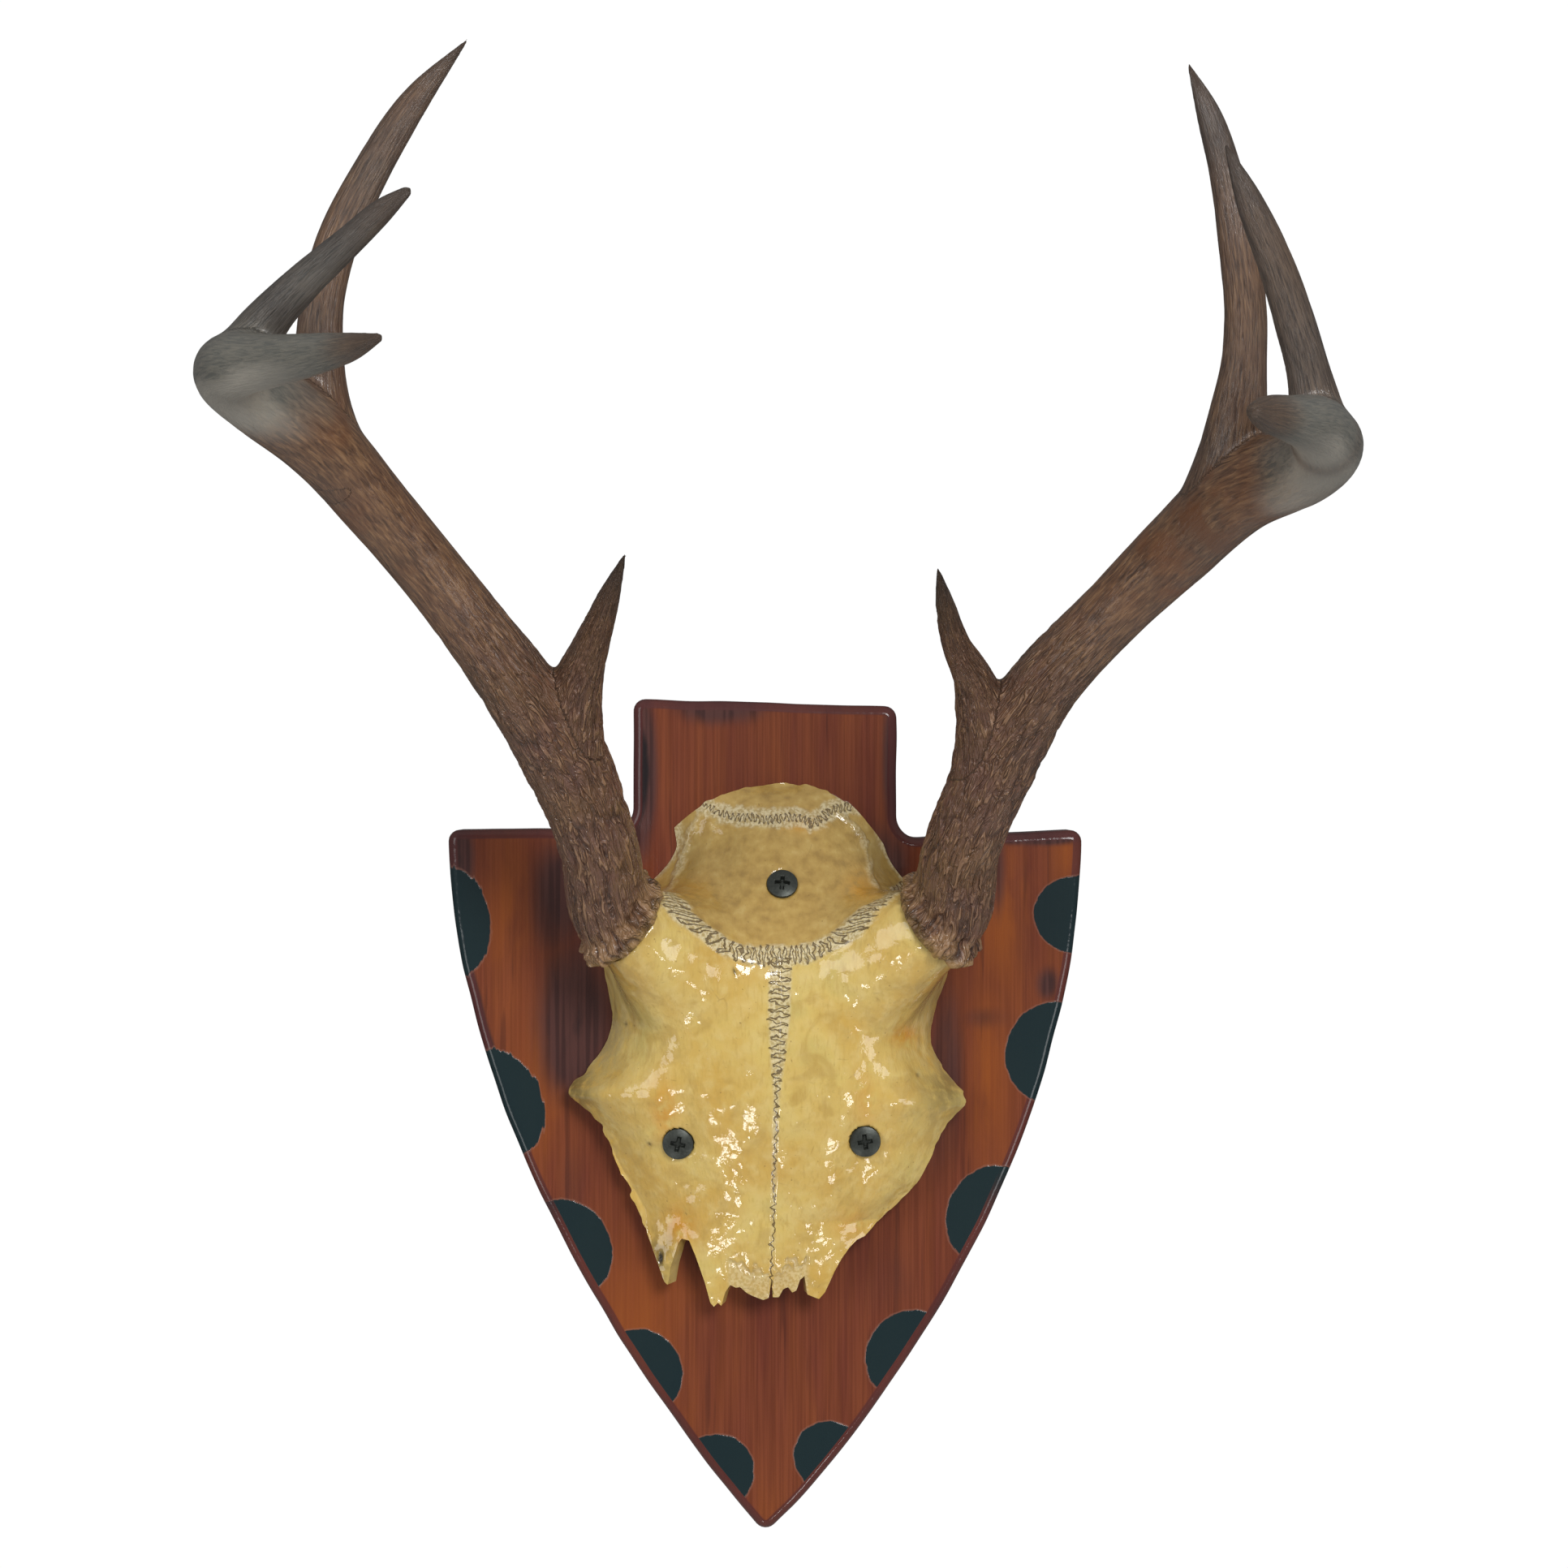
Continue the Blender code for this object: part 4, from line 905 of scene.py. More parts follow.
def pleats(points, seat, direction, seed):
    """Folds round a burr in shares of their depth: a noise on the turn about the seat, drawn out along its
    axis, with its zero lines as grooves."""
    beside = unit(np.cross(direction, [0.0, 1.0, 0.0]))
    over = np.cross(direction, beside)
    away = points - seat
    turn = np.arctan2(away @ over, away @ beside)
    places = np.column_stack([np.cos(turn) * 4.6, np.sin(turn) * 4.6, (away @ direction) / 0.0075])
    return np.clip(3.0 * np.abs(noise(places, seed)), 0.0, 1.0)


def make_antler(name, form, side, height, node, material):
    """One skin round the beam, tines and burr, eased at the crotches, then wrinkled along each branch."""
    seat, direction = seat_of(side)
    seat = seat + direction * CONTACT_GAP
    beam = Branch(form["beam"], seat, side, height, lead=direction)
    tines = [Branch(form[tine], seat, side, height) for tine in ("brow", "second", "third")]
    branches = [beam, *tines]
    points, faces = one_skin([branch.tube() for branch in branches] + [burr_ring(seat, direction)])
    count = len(points)
    read = [branch.coordinates(points) for branch in branches]
    depths = np.stack([found[3] for found in read])
    shares = np.exp(-np.clip(depths / (1.6 * MM), -8, 8))
    shares = shares / shares.sum(axis=0)
    crotch = smooth_step(4.5 * MM, 0.5 * MM, np.sort(depths, axis=0)[1])
    for _ in range(26):
        eased = neighbour_mean(points, faces, count)
        points = points + (eased - points) * (0.12 + 0.75 * crotch)[:, None] * 0.6

    up_beam = read[0][0] / height
    coarse = smooth_step(0.66, 0.16, up_beam)
    relief = np.zeros(count)
    for number, (along, beside, over, _, _) in enumerate(read):
        relief += shares[number] * bark(along, beside, over, 20 + 10 * number + (5 if side > 0 else 0))
    nearest = depths.argmin(axis=0)[None]
    along, beside, over = [
        np.take_along_axis(np.stack([found[part] for found in read]), nearest, axis=0)[0] for part in range(3)
    ]
    away = points - seat
    above_seat = away @ direction
    foot = np.linalg.norm(away - above_seat[:, None] * direction, axis=-1)
    on_burr = smooth_step(12.0 * MM, 6.5 * MM, above_seat) * smooth_step(0.020, 0.017, foot)
    folds = pleats(points, seat, direction, 55 + side)
    pearls = noise(points / (1.9 * MM), 61 + side)
    small_pearls = noise(points / (1.25 * MM), 63 + side)
    tip_gaps = np.min([np.linalg.norm(points - branch.points[-1], axis=-1) for branch in branches], axis=0)
    tip = smooth_step(0.028, 0.004, tip_gaps)
    depth = (0.10 + 0.70 * coarse) * (1 - 0.9 * tip) * (1 - on_burr)
    lift = -depth * (1 - relief) - 1.35 * on_burr * (1 - folds)
    lift += (0.16 * coarse + 0.60 * on_burr) * (0.8 * pearls + 0.6 * small_pearls) + 0.16 * coarse + 0.25 * on_burr
    grow = smooth_step(0.0, 1.5 * MM, above_seat)
    points = points + skin_normals(points, faces) * ((lift * grow - 0.24) * MM)[:, None]

    forward = -points[:, 1] - BOARD_THICKNESS
    blotch = noise(points / 0.016, 71 + side)
    dusty = (np.array(DUSTY_BRANCHES[side])[:, None] * shares).sum(axis=0)
    bleach = smooth_step(0.088, 0.125, forward) * smooth_step(0.84, 1.00, up_beam + 0.06 * blotch) * dusty
    middle = np.exp(-(((up_beam - 0.72) / 0.17) ** 2))
    darkened = (np.array(DARK_BRANCHES[side])[:, None] * shares).sum(axis=0)
    attributes = {
        "shade": np.clip(darkened * (0.85 + 0.5 * blotch), 0.0, 1.0),
        "crest": np.clip(relief * (1 - on_burr) + folds * on_burr, 0.0, 1.0) * 0.8 + 0.2 * (0.5 + 0.5 * pearls),
        "bleach": bleach * (1 - 0.8 * tip),
        "under": smooth_step(-0.15, -0.75, skin_normals(points, faces)[:, 2] + 0.25 * blotch)
        * smooth_step(1.34, 1.14, up_beam),
        "tip": tip,
        "orange": np.clip(middle * (0.60 + 0.8 * blotch), 0.0, 1.0),
        "burr": on_burr,
        "rim": smooth_step(5.5 * MM, 2.0 * MM, above_seat) * on_burr,
        "coarse": coarse,
        "skin_place": np.column_stack([beside * BEAM_RADIUS, over * BEAM_RADIUS, along]),
    }
    antler = mesh_object(name, points, faces.tolist(), attributes)
    return place_piece(antler, node, material)


# Screws


def screw_seat(across, drop, tilt):
    """Middle of the underside of a screw head's rim, and the way the head faces."""
    height = float(skull_height(np.array(across), np.array(drop)))
    tilt = math.radians(tilt)
    facing = np.array([0.0, -math.cos(tilt), math.sin(tilt)])
    return skull_point(across, height, drop) + facing * (SCREW_PROUD - SCREW_HEAD_EDGE), facing


def make_screw(node, material):
    """Head, cone, shank and point turned about the screw's axis. The head's top is a disc that falls by the
    cross recess: two arms and a middle, each deepening from its rim."""
    across, drop, tilt, cross_turn = SCREWS[node]
    place, facing = screw_seat(across, drop, tilt)
    right = np.array([1.0, 0.0, 0.0])
    over = np.cross(facing, right)
    spokes = np.linspace(0, math.tau, HEAD_SPOKES, endpoint=False)
    radii = SCREW_HEAD_RADIUS * 0.97 * np.linspace(0.012, 1.0, HEAD_RINGS)
    r, angle = np.meshgrid(radii, spokes, indexing="ij")
    turned = angle + math.radians(cross_turn)
    x, y = np.abs(r * np.cos(turned)), np.abs(r * np.sin(turned))
    arm = np.minimum((RECESS_WIDTH / 2 + 0.1 * MM - y) / (0.32 * MM), (RECESS_SPAN / 2 - x) / (0.8 * MM))
    other = np.minimum((RECESS_WIDTH / 2 + 0.1 * MM - x) / (0.32 * MM), (RECESS_SPAN / 2 - y) / (0.8 * MM))
    middle = (1.15 * MM - r) / (0.7 * MM)
    recess = np.clip(np.maximum(np.maximum(arm, other), middle), 0.0, 1.0)
    dome = SCREW_HEAD_EDGE + SCREW_HEAD_DOME * (1 - (r / SCREW_HEAD_RADIUS) ** 2)
    tops = dome - RECESS_DEPTH * 0.8 * smooth_step(0.0, 1.0, recess)
    profile = np.array([
        (SCREW_HEAD_RADIUS, SCREW_HEAD_EDGE * 0.55), (SCREW_HEAD_RADIUS, 0.0),
        (SCREW_SHANK_RADIUS, -SCREW_HEAD_CONE), (SCREW_SHANK_RADIUS, SCREW_POINT_LENGTH - SCREW_LENGTH),
        (0.05 * MM, -SCREW_LENGTH),
    ])
    all_radii = np.concatenate([radii, profile[:, 0]])
    all_heights = np.concatenate([tops, np.broadcast_to(profile[:, 1:], (len(profile), HEAD_SPOKES))])
    round_axis = np.cos(spokes)[:, None] * right + np.sin(spokes)[:, None] * over
    points = place + all_radii[:, None, None] * round_axis[None] + all_heights[..., None] * facing
    rows = len(all_radii)
    faces = grid_faces(rows, HEAD_SPOKES, closed=True)
    faces = faces.tolist()
    faces.append(list(range(HEAD_SPOKES)))
    faces.append(list(range((rows - 1) * HEAD_SPOKES, rows * HEAD_SPOKES))[::-1])
    screw = mesh_object(f"{node}_detailed", points.reshape(-1, 3), faces, sharp_degrees=40)
    return place_piece(screw, node, material)


# Materials


def linear(hex_colour):
    """Linear red, green, blue and alpha of an sRGB hex colour."""
    parts = [int(hex_colour[start : start + 2], 16) / 255 for start in (1, 3, 5)]
    return (*[part / 12.92 if part <= 0.04045 else ((part + 0.055) / 1.055) ** 2.4 for part in parts], 1.0)


def add_node(tree, kind, inputs=None, stops=None, **settings):
    """Node of a kind with its settings. An input takes a value, or a link from another node's socket, and
    stops are a colour ramp's (place, hex colour)."""
    made = tree.nodes.new(kind)
    for name, value in settings.items():
        setattr(made, name, value)
    for key, value in (inputs or {}).items():
        if isinstance(value, bpy.types.NodeSocket):
            tree.links.new(value, made.inputs[key])
        else:
            made.inputs[key].default_value = value
    if stops:
        ramp = made.color_ramp
        while len(ramp.elements) < len(stops):
            ramp.elements.new(0.5)
        for element, (place, colour) in zip(ramp.elements, stops):
            element.position = place
            element.color = linear(colour)
    return made


def new_material(name):
    material = bpy.data.materials.new(name)
    material.use_nodes = True
    return material, material.node_tree, material.node_tree.nodes["Principled BSDF"]


def read_attribute(tree, name):
    return add_node(tree, "ShaderNodeAttribute", attribute_name=name).outputs["Fac"]


def cloud(tree, size_mm, detail=3.0, stretch=(1.0, 1.0, 1.0), distortion=0.0):
    """Noise with features of a size in mm, stretched along an axis by how many times."""
    coordinates = add_node(tree, "ShaderNodeTexCoord").outputs["Object"]
    scale = [1 / (size_mm * MM * times) for times in stretch]
    mapped = add_node(tree, "ShaderNodeMapping", {"Vector": coordinates, "Scale": scale}).outputs[0]
    inputs = {"Vector": mapped, "Scale": 1.0, "Detail": detail, "Distortion": distortion}
    return add_node(tree, "ShaderNodeTexNoise", inputs).outputs["Fac"]


def between(tree, value, low, high):
    """0 below low and 1 above high of a value, smoothly."""
    inputs = {"Value": value, "From Min": low, "From Max": high}
    return add_node(tree, "ShaderNodeMapRange", inputs, interpolation_type="SMOOTHSTEP").outputs[0]


def times(tree, first, second):
    return add_node(tree, "ShaderNodeMath", {0: first, 1: second}, operation="MULTIPLY").outputs[0]


def mixed(tree, share, first, second, blend="MIX"):
    """Two colours, each a hex colour or a socket, mixed by a share."""
    first = linear(first) if isinstance(first, str) else first
    second = linear(second) if isinstance(second, str) else second
    inputs = {0: share, 6: first, 7: second}
    return add_node(tree, "ShaderNodeMix", inputs, data_type="RGBA", blend_type=blend).outputs[2]


def bumped(tree, shader, height, depth_mm, socket="Normal"):
    inputs = {"Height": height, "Strength": 1.0, "Distance": depth_mm * MM}
    tree.links.new(add_node(tree, "ShaderNodeBump", inputs).outputs[0], shader.inputs[socket])


def squiggle(tree, name, pitch_mm, half_width_mm):
    """1 on a line that winds about a seam and 0 off it. The seam's attribute holds the distances along and
    across it and its sway s, in mm. The line is across = s sin(p), where p is the distance along over the
    pitch in turns, and the miss is divided by the line's steepness, the root of 1 + (s cos(p) 2 pi / pitch)^2."""
    held = add_node(tree, "ShaderNodeAttribute", attribute_name=name).outputs["Vector"]
    warp = add_node(tree, "ShaderNodeTexNoise", {"Vector": held, "Scale": 0.42, "Detail": 2.0}).outputs["Color"]
    moved = add_node(tree, "ShaderNodeVectorMath", {
        0: warp, 1: (2.6, 2.6, 0.0), 2: held}, operation="MULTIPLY_ADD").outputs[0]
    part = add_node(tree, "ShaderNodeSeparateXYZ", {"Vector": moved})
    phase = times(tree, part.outputs[0], math.tau / pitch_mm)
    sine = add_node(tree, "ShaderNodeMath", {0: phase}, operation="SINE").outputs[0]
    cosine = add_node(tree, "ShaderNodeMath", {0: phase}, operation="COSINE").outputs[0]
    across = add_node(tree, "ShaderNodeMath", {0: part.outputs[1], 1: 1.3}, operation="SUBTRACT").outputs[0]
    swing = times(tree, sine, part.outputs[2])
    miss = add_node(tree, "ShaderNodeMath", {0: across, 1: swing}, operation="SUBTRACT").outputs[0]
    slope = times(tree, times(tree, cosine, part.outputs[2]), math.tau / pitch_mm)
    steep = add_node(tree, "ShaderNodeMath", {0: slope, 1: slope, 2: 1.0}, operation="MULTIPLY_ADD").outputs[0]
    root = add_node(tree, "ShaderNodeMath", {0: steep}, operation="SQRT").outputs[0]
    far = add_node(tree, "ShaderNodeMath", {0: miss, 1: root}, operation="DIVIDE").outputs[0]
    gap = add_node(tree, "ShaderNodeMath", {0: far}, operation="ABSOLUTE").outputs[0]
    ended = between(tree, part.outputs[0], 0.6, 1.6)
    shown = times(tree, ended, between(tree, part.outputs[2], 0.05, 0.15))
    return times(tree, between(tree, gap, half_width_mm * 1.7, half_width_mm * 0.7), shown)


def varnished_pine():
    """Knot-free pine, stained red-brown and brushed with gloss varnish. The eye sees upright pinstripe grain, darker
    smoky patches that beside the skull cap are painted shadow of it, dark blue-green scallops with a pale lip that is
    partly painted highlight, and sharp highlights on the rounded edge."""
    material, tree, shader = new_material("stained pine under gloss varnish")
    grain = cloud(tree, 0.55, detail=2.0, stretch=(1.0, 1.0, 60.0), distortion=0.1)
    stripes = cloud(tree, 1.5, detail=1.5, stretch=(1.0, 1.0, 34.0), distortion=0.15)
    bands = cloud(tree, 9.0, detail=3.0, stretch=(1.0, 1.0, 8.0), distortion=0.4)
    smoke = cloud(tree, 20.0, detail=4.0, stretch=(0.7, 1.0, 1.8), distortion=0.3)
    tone = add_node(tree, "ShaderNodeValToRGB", {0: bands}, stops=(
        (0.34, "#703728"), (0.48, "#773d28"), (0.62, "#7e4228"), (0.76, "#874826"))).outputs[0]
    fine_line = add_node(tree, "ShaderNodeValToRGB", {0: grain}, stops=(
        (0.34, "#cfc6c2"), (0.50, "#e9e5e3"), (0.62, "#ffffff"))).outputs[0]
    tone = mixed(tree, 0.65, tone, fine_line, "MULTIPLY")
    light = times(tree, read_attribute(tree, "light"), between(tree, smoke, 0.30, 0.55))
    tone = mixed(tree, light, tone, mixed(tree, stripes, "#834120", "#9a5421"))
    uneven = add_node(tree, "ShaderNodeMath", {0: smoke, 1: 1.2, 2: 0.40}, operation="MULTIPLY_ADD").outputs[0]
    # Painted shadow: the dark attribute carries shadow of the skull cap beside it, as well as stain and the burnt left
    # edge.
    scorch_and_shadow = times(tree, read_attribute(tree, "dark"), uneven)
    pinstripe = between(tree, cloud(tree, 1.9, detail=1.0, stretch=(1.0, 1.0, 40.0)), 0.42, 0.58)
    striped = mixed(tree, pinstripe, "#412826", "#543531")
    scorched_and_shaded = mixed(tree, between(tree, scorch_and_shadow, 0.88, 1.14), striped, "#211b1d")
    tone = mixed(tree, between(tree, scorch_and_shadow, 0.20, 0.76), tone, scorched_and_shaded)
    rare = cloud(tree, 2.2, detail=2.0, stretch=(1.0, 1.0, 22.0), distortion=0.3)
    tone = mixed(tree, times(tree, between(tree, rare, 0.64, 0.74), 0.4), tone, "#3f1f19")
    edge = between(tree, read_attribute(tree, "edge_gap"), 3.2, 1.8)
    tone = mixed(tree, times(tree, edge, 0.80), tone, mixed(tree, smoke, "#3c2022", "#633330"))
    gap = add_node(tree, "ShaderNodeMath", {
        0: read_attribute(tree, "scallop_gap"), 1: times(tree, cloud(tree, 3.0), 1.1)}, operation="ADD").outputs[0]
    run = times(tree, read_attribute(tree, "side"), times(tree, between(tree, stripes, 0.45, 0.70), 0.7))
    gap = add_node(tree, "ShaderNodeMath", {0: gap, 1: run}, operation="SUBTRACT").outputs[0]
    inside = between(tree, gap, 0.75, 0.45)
    # A pale line just outside each scallop: partly a lighter lip of the paint, partly painted highlight on that edge.
    rim = times(tree, between(tree, gap, 0.45, 0.62), between(tree, gap, 1.15, 0.85))
    on_face = between(tree, read_attribute(tree, "edge_gap"), 2.1, 2.7)
    on_face = add_node(tree, "ShaderNodeMath", {0: on_face, 1: read_attribute(tree, "wrap")}, operation="MAXIMUM").outputs[0]
    tone = mixed(tree, times(tree, times(tree, rim, on_face), 0.30), tone, "#93695a")
    painted = times(tree, inside, on_face)
    tone = mixed(tree, painted, tone, mixed(tree, smoke, "#15272c", "#1d2c2e"))
    tree.links.new(tone, shader.inputs["Base Color"])
    shader.inputs["Roughness"].default_value = 0.45
    shader.inputs["Specular IOR Level"].default_value = 0.05
    shader.inputs["Coat Weight"].default_value = 0.60
    shader.inputs["Coat Roughness"].default_value = 0.10
    bumped(tree, shader, grain, 0.06)
    ripple = add_node(tree, "ShaderNodeMath", {
        0: painted, 1: 0.9, 2: cloud(tree, 4.0)}, operation="MULTIPLY_ADD").outputs[0]
    bumped(tree, shader, ripple, 0.12, "Coat Normal")
    return material


def varnished_bone():
    """Bone, yellowed and varnished. The eye sees cream to tan blotches, brown seams, a chalky toothed band over the
    crown, orange stains, olive patches that are part stain and part painted shade, near black pits coloured as painted
    shade, paler steep sides of painted light, and wet-looking sparkles."""
    material, tree, shader = new_material("yellowed bone under gloss varnish")
    blotch = cloud(tree, 22.0, detail=3.0)
    mottle = cloud(tree, 3.6, detail=4.0)
    pores = cloud(tree, 0.8, detail=3.0)
    tone = add_node(tree, "ShaderNodeValToRGB", {0: blotch}, stops=(
        (0.34, "#cba552"), (0.47, "#cfae5e"), (0.58, "#d5b96a"), (0.70, "#cab46a"))).outputs[0]
    tone = mixed(tree, times(tree, between(tree, mottle, 0.40, 0.75), 0.6), tone, "#dac17c")
    dull = between(tree, cloud(tree, 9.0, detail=5.0, distortion=0.8), 0.52, 0.70)
    tone = mixed(tree, times(tree, dull, 0.6), tone, "#b9984f")
    fibre = cloud(tree, 1.0, detail=3.0, stretch=(1.0, 1.0, 4.5))
    tone = mixed(tree, times(tree, between(tree, fibre, 0.50, 0.70), 0.35), tone, "#b8964c")
    tan = add_node(tree, "ShaderNodeValToRGB", {0: mottle}, stops=(
        (0.30, "#9c7c40"), (0.46, "#b08f4c"), (0.60, "#ba9a55"), (0.74, "#c6aa68"))).outputs[0]
    tone = mixed(tree, times(tree, read_attribute(tree, "tan"), 0.92), tone, tan)
    # Painted light: the steep sides are made paler.
    flank_painted_light = times(tree, read_attribute(tree, "flank_painted_light"), between(tree, mottle, 0.25, 0.60))
    tone = mixed(tree, times(tree, flank_painted_light, 0.55), tone, "#e3cd88")
    orange = times(tree, read_attribute(tree, "orange_stain"), between(tree, mottle, 0.26, 0.56))
    tone = mixed(tree, times(tree, orange, 0.90), tone, "#cc8c20")
    # Olive patches: part stain, part painted shade on the splinter and the side walls that turn away.
    olive = times(tree, read_attribute(tree, "olive_stain_and_shade"), between(tree, mottle, 0.22, 0.58))
    tone = mixed(tree, olive, tone, "#7b6737")
    band = read_attribute(tree, "band")
    chalk = mixed(tree, between(tree, pores, 0.38, 0.60), "#b09d71", "#ddd1ac")
    tone = mixed(tree, times(tree, band, 0.80), tone, chalk)
    crack_place = add_node(tree, "ShaderNodeTexCoord").outputs["Object"]
    cracks = add_node(tree, "ShaderNodeTexVoronoi", {
        "Vector": crack_place, "Scale": 1 / (6.5 * MM)}, feature="DISTANCE_TO_EDGE").outputs["Distance"]
    hairline = times(tree, between(tree, cracks, 0.035, 0.012), between(tree, cloud(tree, 5.0), 0.60, 0.72))
    tone = mixed(tree, times(tree, hairline, 0.30), tone, "#8d6d3a")
    seam = squiggle(tree, "crown_seam", 1.7, 0.11)
    for name, pitch, width in (("midline_seam", 2.6, 0.14), ("nape_seam", 1.4, 0.11)):
        other = squiggle(tree, name, pitch, width)
        seam = add_node(tree, "ShaderNodeMath", {0: seam, 1: other}, operation="MAXIMUM").outputs[0]
    tone = mixed(tree, times(tree, seam, 0.80), tone, "#5d4628")
    specks = between(tree, cloud(tree, 1.2, detail=1.0), 0.74, 0.80)
    tone = mixed(tree, times(tree, specks, 0.5), tone, "#80602f")
    # Painted shade: the pits are coloured near black, as holes in shade.
    tone = mixed(tree, read_attribute(tree, "pit_painted_shade"), tone, "#2e2416")
    tree.links.new(tone, shader.inputs["Base Color"])
    shader.inputs["Roughness"].default_value = 0.42
    shader.inputs["Specular IOR Level"].default_value = 0.1
    shader.inputs["Coat Weight"].default_value = 1.0
    shader.inputs["Coat Roughness"].default_value = 0.06
    shader.inputs["Subsurface Weight"].default_value = 0.06
    shader.inputs["Subsurface Radius"].default_value = (1.5 * MM, 1.0 * MM, 0.5 * MM)
    skin = add_node(tree, "ShaderNodeMath", {0: fibre, 1: 0.5, 2: mottle}, operation="MULTIPLY_ADD").outputs[0]
    grooved = add_node(tree, "ShaderNodeMath", {0: seam, 1: -1.6, 2: skin}, operation="MULTIPLY_ADD").outputs[0]
    bumped(tree, shader, grooved, 0.30)
    rippled = times(tree, cloud(tree, 1.7, detail=2.0), 0.16)
    pooled = add_node(tree, "ShaderNodeMath", {
        0: cloud(tree, 7.0, detail=1.0), 1: 1.3, 2: rippled}, operation="MULTIPLY_ADD").outputs[0]
    bumped(tree, shader, pooled, 0.60, "Coat Normal")
    return material


def wrinkled_antler():
    """Antler as grown: brown, pale on its wrinkles' crests and near black in their grooves, with orange
    patches half way up, dusty grey elbows and dark polished tips."""
    material, tree, shader = new_material("deer antler")
    patch = cloud(tree, 9.0, detail=4.0)
    wide_patch = cloud(tree, 28.0, detail=3.0)
    speckle = cloud(tree, 1.3, detail=4.0)
    along_skin = add_node(tree, "ShaderNodeAttribute", attribute_name="skin_place").outputs["Vector"]

    def drawn_out(round_mm, along_mm, detail, distortion):
        scale = [1 / (round_mm * MM), 1 / (round_mm * MM), 1 / (along_mm * MM)]
        mapped = add_node(tree, "ShaderNodeMapping", {"Vector": along_skin, "Scale": scale}).outputs[0]
        inputs = {"Vector": mapped, "Scale": 1.0, "Detail": detail, "Distortion": distortion}
        return add_node(tree, "ShaderNodeTexNoise", inputs).outputs["Fac"]

    fibre = drawn_out(0.7, 5.5, 4.0, 0.7)
    folds = add_node(tree, "ShaderNodeMath", {
        0: drawn_out(1.35, 7.5, 1.5, 1.3), 1: 0.5}, operation="SUBTRACT").outputs[0]
    folds = add_node(tree, "ShaderNodeMath", {0: folds}, operation="ABSOLUTE").outputs[0]
    wrinkle = between(tree, folds, 0.0, 0.20)
    rough = read_attribute(tree, "coarse")
    crest = add_node(tree, "ShaderNodeMath", {
        0: times(tree, wrinkle, 0.65), 1: times(tree, read_attribute(tree, "crest"), 0.4)}, operation="ADD").outputs[0]
    tone = add_node(tree, "ShaderNodeValToRGB", {0: crest}, stops=(
        (0.08, "#3c291e"), (0.30, "#624433"), (0.62, "#7a5943"), (0.98, "#8e6c50"))).outputs[0]
    tone = mixed(tree, times(tree, between(tree, patch, 0.48, 0.64), 0.30), tone, "#6d4a42")
    tone = mixed(tree, times(tree, between(tree, wide_patch, 0.50, 0.62), 0.30), tone, "#7d5c38")
    upper = add_node(tree, "ShaderNodeValToRGB", {0: fibre}, stops=(
        (0.34, "#3b291d"), (0.46, "#604533"), (0.56, "#75563c"), (0.68, "#916f4f"))).outputs[0]
    tone = mixed(tree, times(tree, between(tree, rough, 0.75, 0.10), 0.80), tone, upper)
    knobs = times(tree, read_attribute(tree, "burr"), between(tree, read_attribute(tree, "crest"), 0.25, 0.95))
    tone = mixed(tree, times(tree, knobs, 0.55), tone, "#a07c55")
    tone = mixed(tree, times(tree, read_attribute(tree, "orange"), between(tree, patch, 0.40, 0.64)), tone, "#704628")
    streaked = between(tree, fibre, 0.30, 0.62)
    dust = mixed(tree, times(tree, streaked, 0.7), "#62645f", "#7f7e75")
    dust = mixed(tree, times(tree, read_attribute(tree, "under"), 0.8), dust, "#b6b1a6")
    tone = mixed(tree, times(tree, read_attribute(tree, "bleach"), 0.9), tone, dust)
    tone = mixed(tree, read_attribute(tree, "shade"), tone, mixed(tree, streaked, "#292522", "#4a443f"))
    dark = mixed(tree, speckle, "#2e2621", "#4f443c")
    tone = mixed(tree, times(tree, read_attribute(tree, "tip"), 0.65), tone, dark)
    rim = mixed(tree, read_attribute(tree, "crest"), "#5a4128", "#ac8856")
    tone = mixed(tree, times(tree, read_attribute(tree, "rim"), 0.75), tone, rim)
    tree.links.new(tone, shader.inputs["Base Color"])
    shader.inputs["Roughness"].default_value = 0.42
    shader.inputs["Specular IOR Level"].default_value = 0.3
    shader.inputs["Coat Weight"].default_value = 0.55
    shader.inputs["Coat Roughness"].default_value = 0.14
    raised = times(tree, times(tree, wrinkle, between(tree, rough, 0.0, 0.5)), 2.4)
    raised = add_node(tree, "ShaderNodeMath", {0: raised, 1: fibre}, operation="ADD").outputs[0]
    bumped(tree, shader, raised, 0.30)
    bumped(tree, shader, raised, 0.38, "Coat Normal")
    return material


def black_oxide_steel():
    """Hardened steel, blackened in a salt bath. The eye sees a near black head with soft grey glints."""
    material, tree, shader = new_material("black oxide steel")
    worn = cloud(tree, 0.7, detail=3.0)
    tone = mixed(tree, worn, "#292b29", "#4d514b")
    tree.links.new(tone, shader.inputs["Base Color"])
    shader.inputs["Metallic"].default_value = 0.6
    shader.inputs["Roughness"].default_value = 0.36
    bumped(tree, shader, worn, 0.03)
    return material


def pale_paint():
    """Matt pale studio floor, plain on purpose, with a faint unevenness."""
    material, tree, shader = new_material("matt studio floor paint")
    tone = mixed(tree, cloud(tree, 300.0), "#e9e8e6", "#f0efed")
    tree.links.new(tone, shader.inputs["Base Color"])
    shader.inputs["Roughness"].default_value = 0.9
    return material


# Stage, light and camera


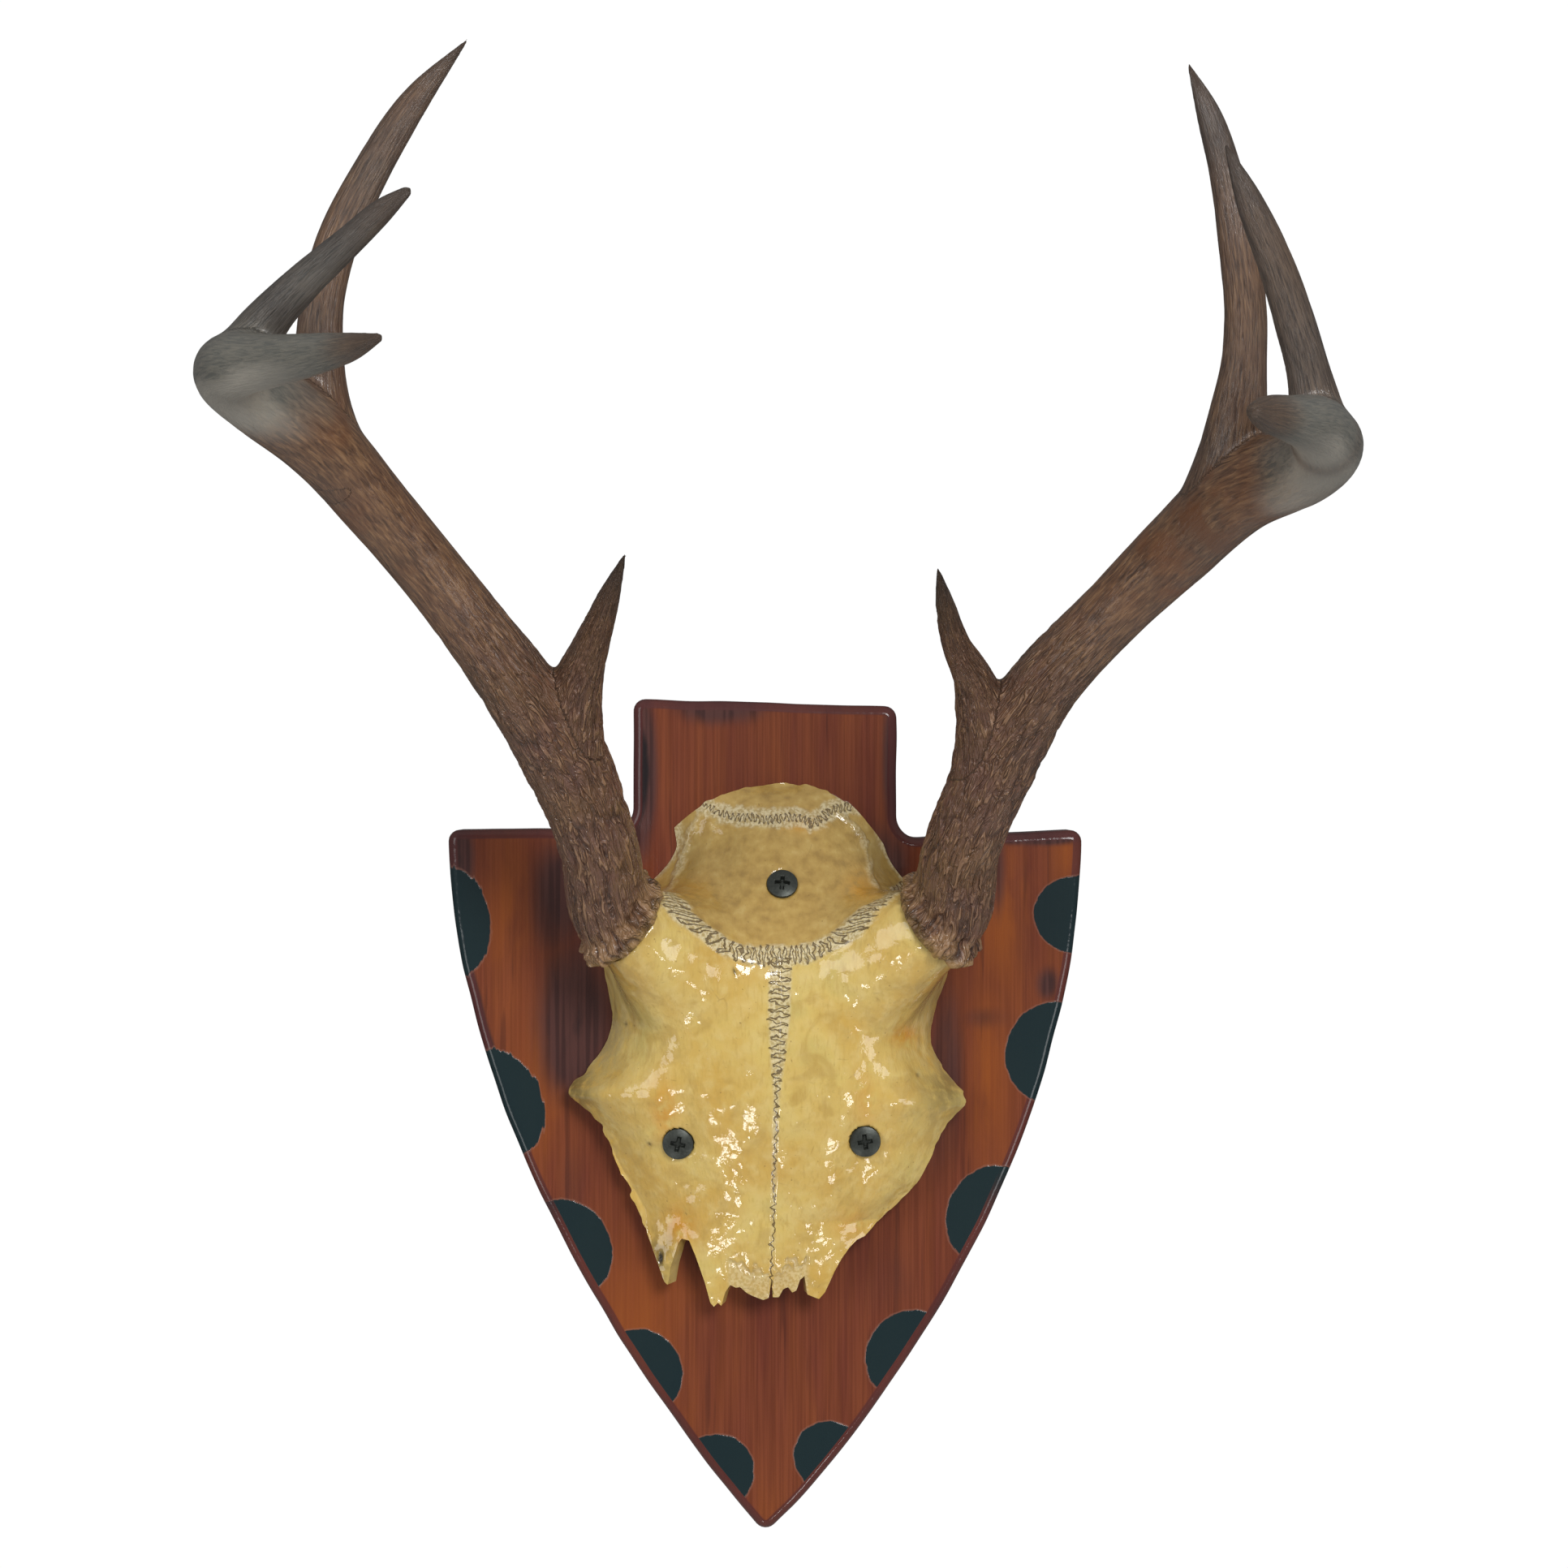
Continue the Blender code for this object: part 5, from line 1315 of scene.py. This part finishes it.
def make_floor():
    """Disc well below the plaque, a ring of points at each radius."""
    radii, angles = np.linspace(0.02, FLOOR_RADIUS, 24), np.linspace(0, math.tau, 96, endpoint=False)
    r, angle = np.meshgrid(radii, angles, indexing="ij")
    points = np.stack([r * np.cos(angle), r * np.sin(angle), np.full_like(r, FLOOR_HEIGHT)], axis=-1)
    faces = grid_faces(len(radii), len(angles), closed=True).tolist() + [list(range(len(angles)))]
    floor = mesh_object("floor", points.reshape(-1, 3), faces)
    floor.data.materials.append(pale_paint())


def make_light(name, place, size, power, glint_only=False):
    """Square soft light turned towards the plaque. One for glints only is seen in gloss but lights nothing."""
    target = (0.0, -0.08, 0.05)
    data = bpy.data.lights.new(name, "AREA")
    data.energy = power
    data.size = size
    light = bpy.data.objects.new(name, data)
    light.visible_diffuse = not glint_only
    light.location = place
    light.rotation_euler = (Vector(target) - Vector(place)).to_track_quat("-Z", "Y").to_euler()
    bpy.context.scene.collection.objects.link(light)


def make_studio():
    """Surroundings seen as white, but that light the plaque as a room that is brighter above, with a soft key
    from the upper right, a weaker fill from the left, and small low lights for the varnish's glints: the
    bone's forehead leans down, so that it mirrors what is low in front of it."""
    world = bpy.data.worlds.new("studio")
    bpy.context.scene.world = world
    world.use_nodes = True
    tree = world.node_tree
    tree.nodes.clear()
    way = add_node(tree, "ShaderNodeTexCoord").outputs["Generated"]
    part = add_node(tree, "ShaderNodeSeparateXYZ", {"Vector": way})
    room = add_node(tree, "ShaderNodeMapRange", {
        "Value": part.outputs["Z"], "From Min": -0.3, "From Max": 0.9, "To Min": 0.16, "To Max": 0.47}).outputs[0]
    wall = add_node(tree, "ShaderNodeMapRange", {
        "Value": part.outputs["Y"], "From Min": -0.1, "From Max": 0.4, "To Min": 1.0, "To Max": 0.40}).outputs[0]
    room = times(tree, room, wall)
    seen = add_node(tree, "ShaderNodeLightPath").outputs["Is Camera Ray"]
    strength = add_node(tree, "ShaderNodeMix", {0: seen, 2: room, 3: 1.02}, data_type="FLOAT").outputs[0]
    sky = add_node(tree, "ShaderNodeBackground", {"Color": (1.0, 1.0, 1.0, 1.0), "Strength": strength})
    add_node(tree, "ShaderNodeOutputWorld", {"Surface": sky.outputs[0]})
    make_light("key", (0.44, -1.55, 0.62), 0.50, 15.0)
    make_light("fill", (-1.20, -1.30, 0.40), 0.80, 6.0)
    make_light("side_left", (-1.30, -1.00, -0.45), 0.60, 4.0)
    make_light("side_right", (1.30, -1.00, -0.45), 0.60, 5.0)
    make_light("glint_left", (-0.46, -1.60, -1.36), 0.24, 2.8, glint_only=True)
    make_light("glint_right", (0.88, -1.60, -1.28), 0.24, 2.4, glint_only=True)
    bpy.context.scene.view_settings.view_transform = "Standard"
    bpy.context.scene.view_settings.look = "None"


def make_camera():
    data = bpy.data.cameras.new("camera")
    data.sensor_width = SENSOR_WIDTH
    data.lens = SENSOR_WIDTH * FOCAL_PIXELS / FRAME_PIXELS
    camera = bpy.data.objects.new("camera", data)
    camera.location = CAMERA_PLACE
    camera.rotation_euler = (math.radians(90.0), 0.0, 0.0)
    bpy.context.scene.collection.objects.link(camera)
    bpy.context.scene.camera = camera


def main():
    antler = wrinkled_antler()
    make_board(varnished_pine())
    make_skull(varnished_bone())
    right_height = ANTLER_HEIGHT * RIGHT_ANTLER_SHARE
    make_antler("antler_on_left", LEFT_ANTLER, -1, ANTLER_HEIGHT, "antler_left", antler)
    make_antler("antler_on_right", RIGHT_ANTLER, 1, right_height, "antler_right", antler)
    steel = black_oxide_steel()
    for node in SCREWS:
        make_screw(node, steel)
    make_floor()
    make_studio()
    make_camera()


main()
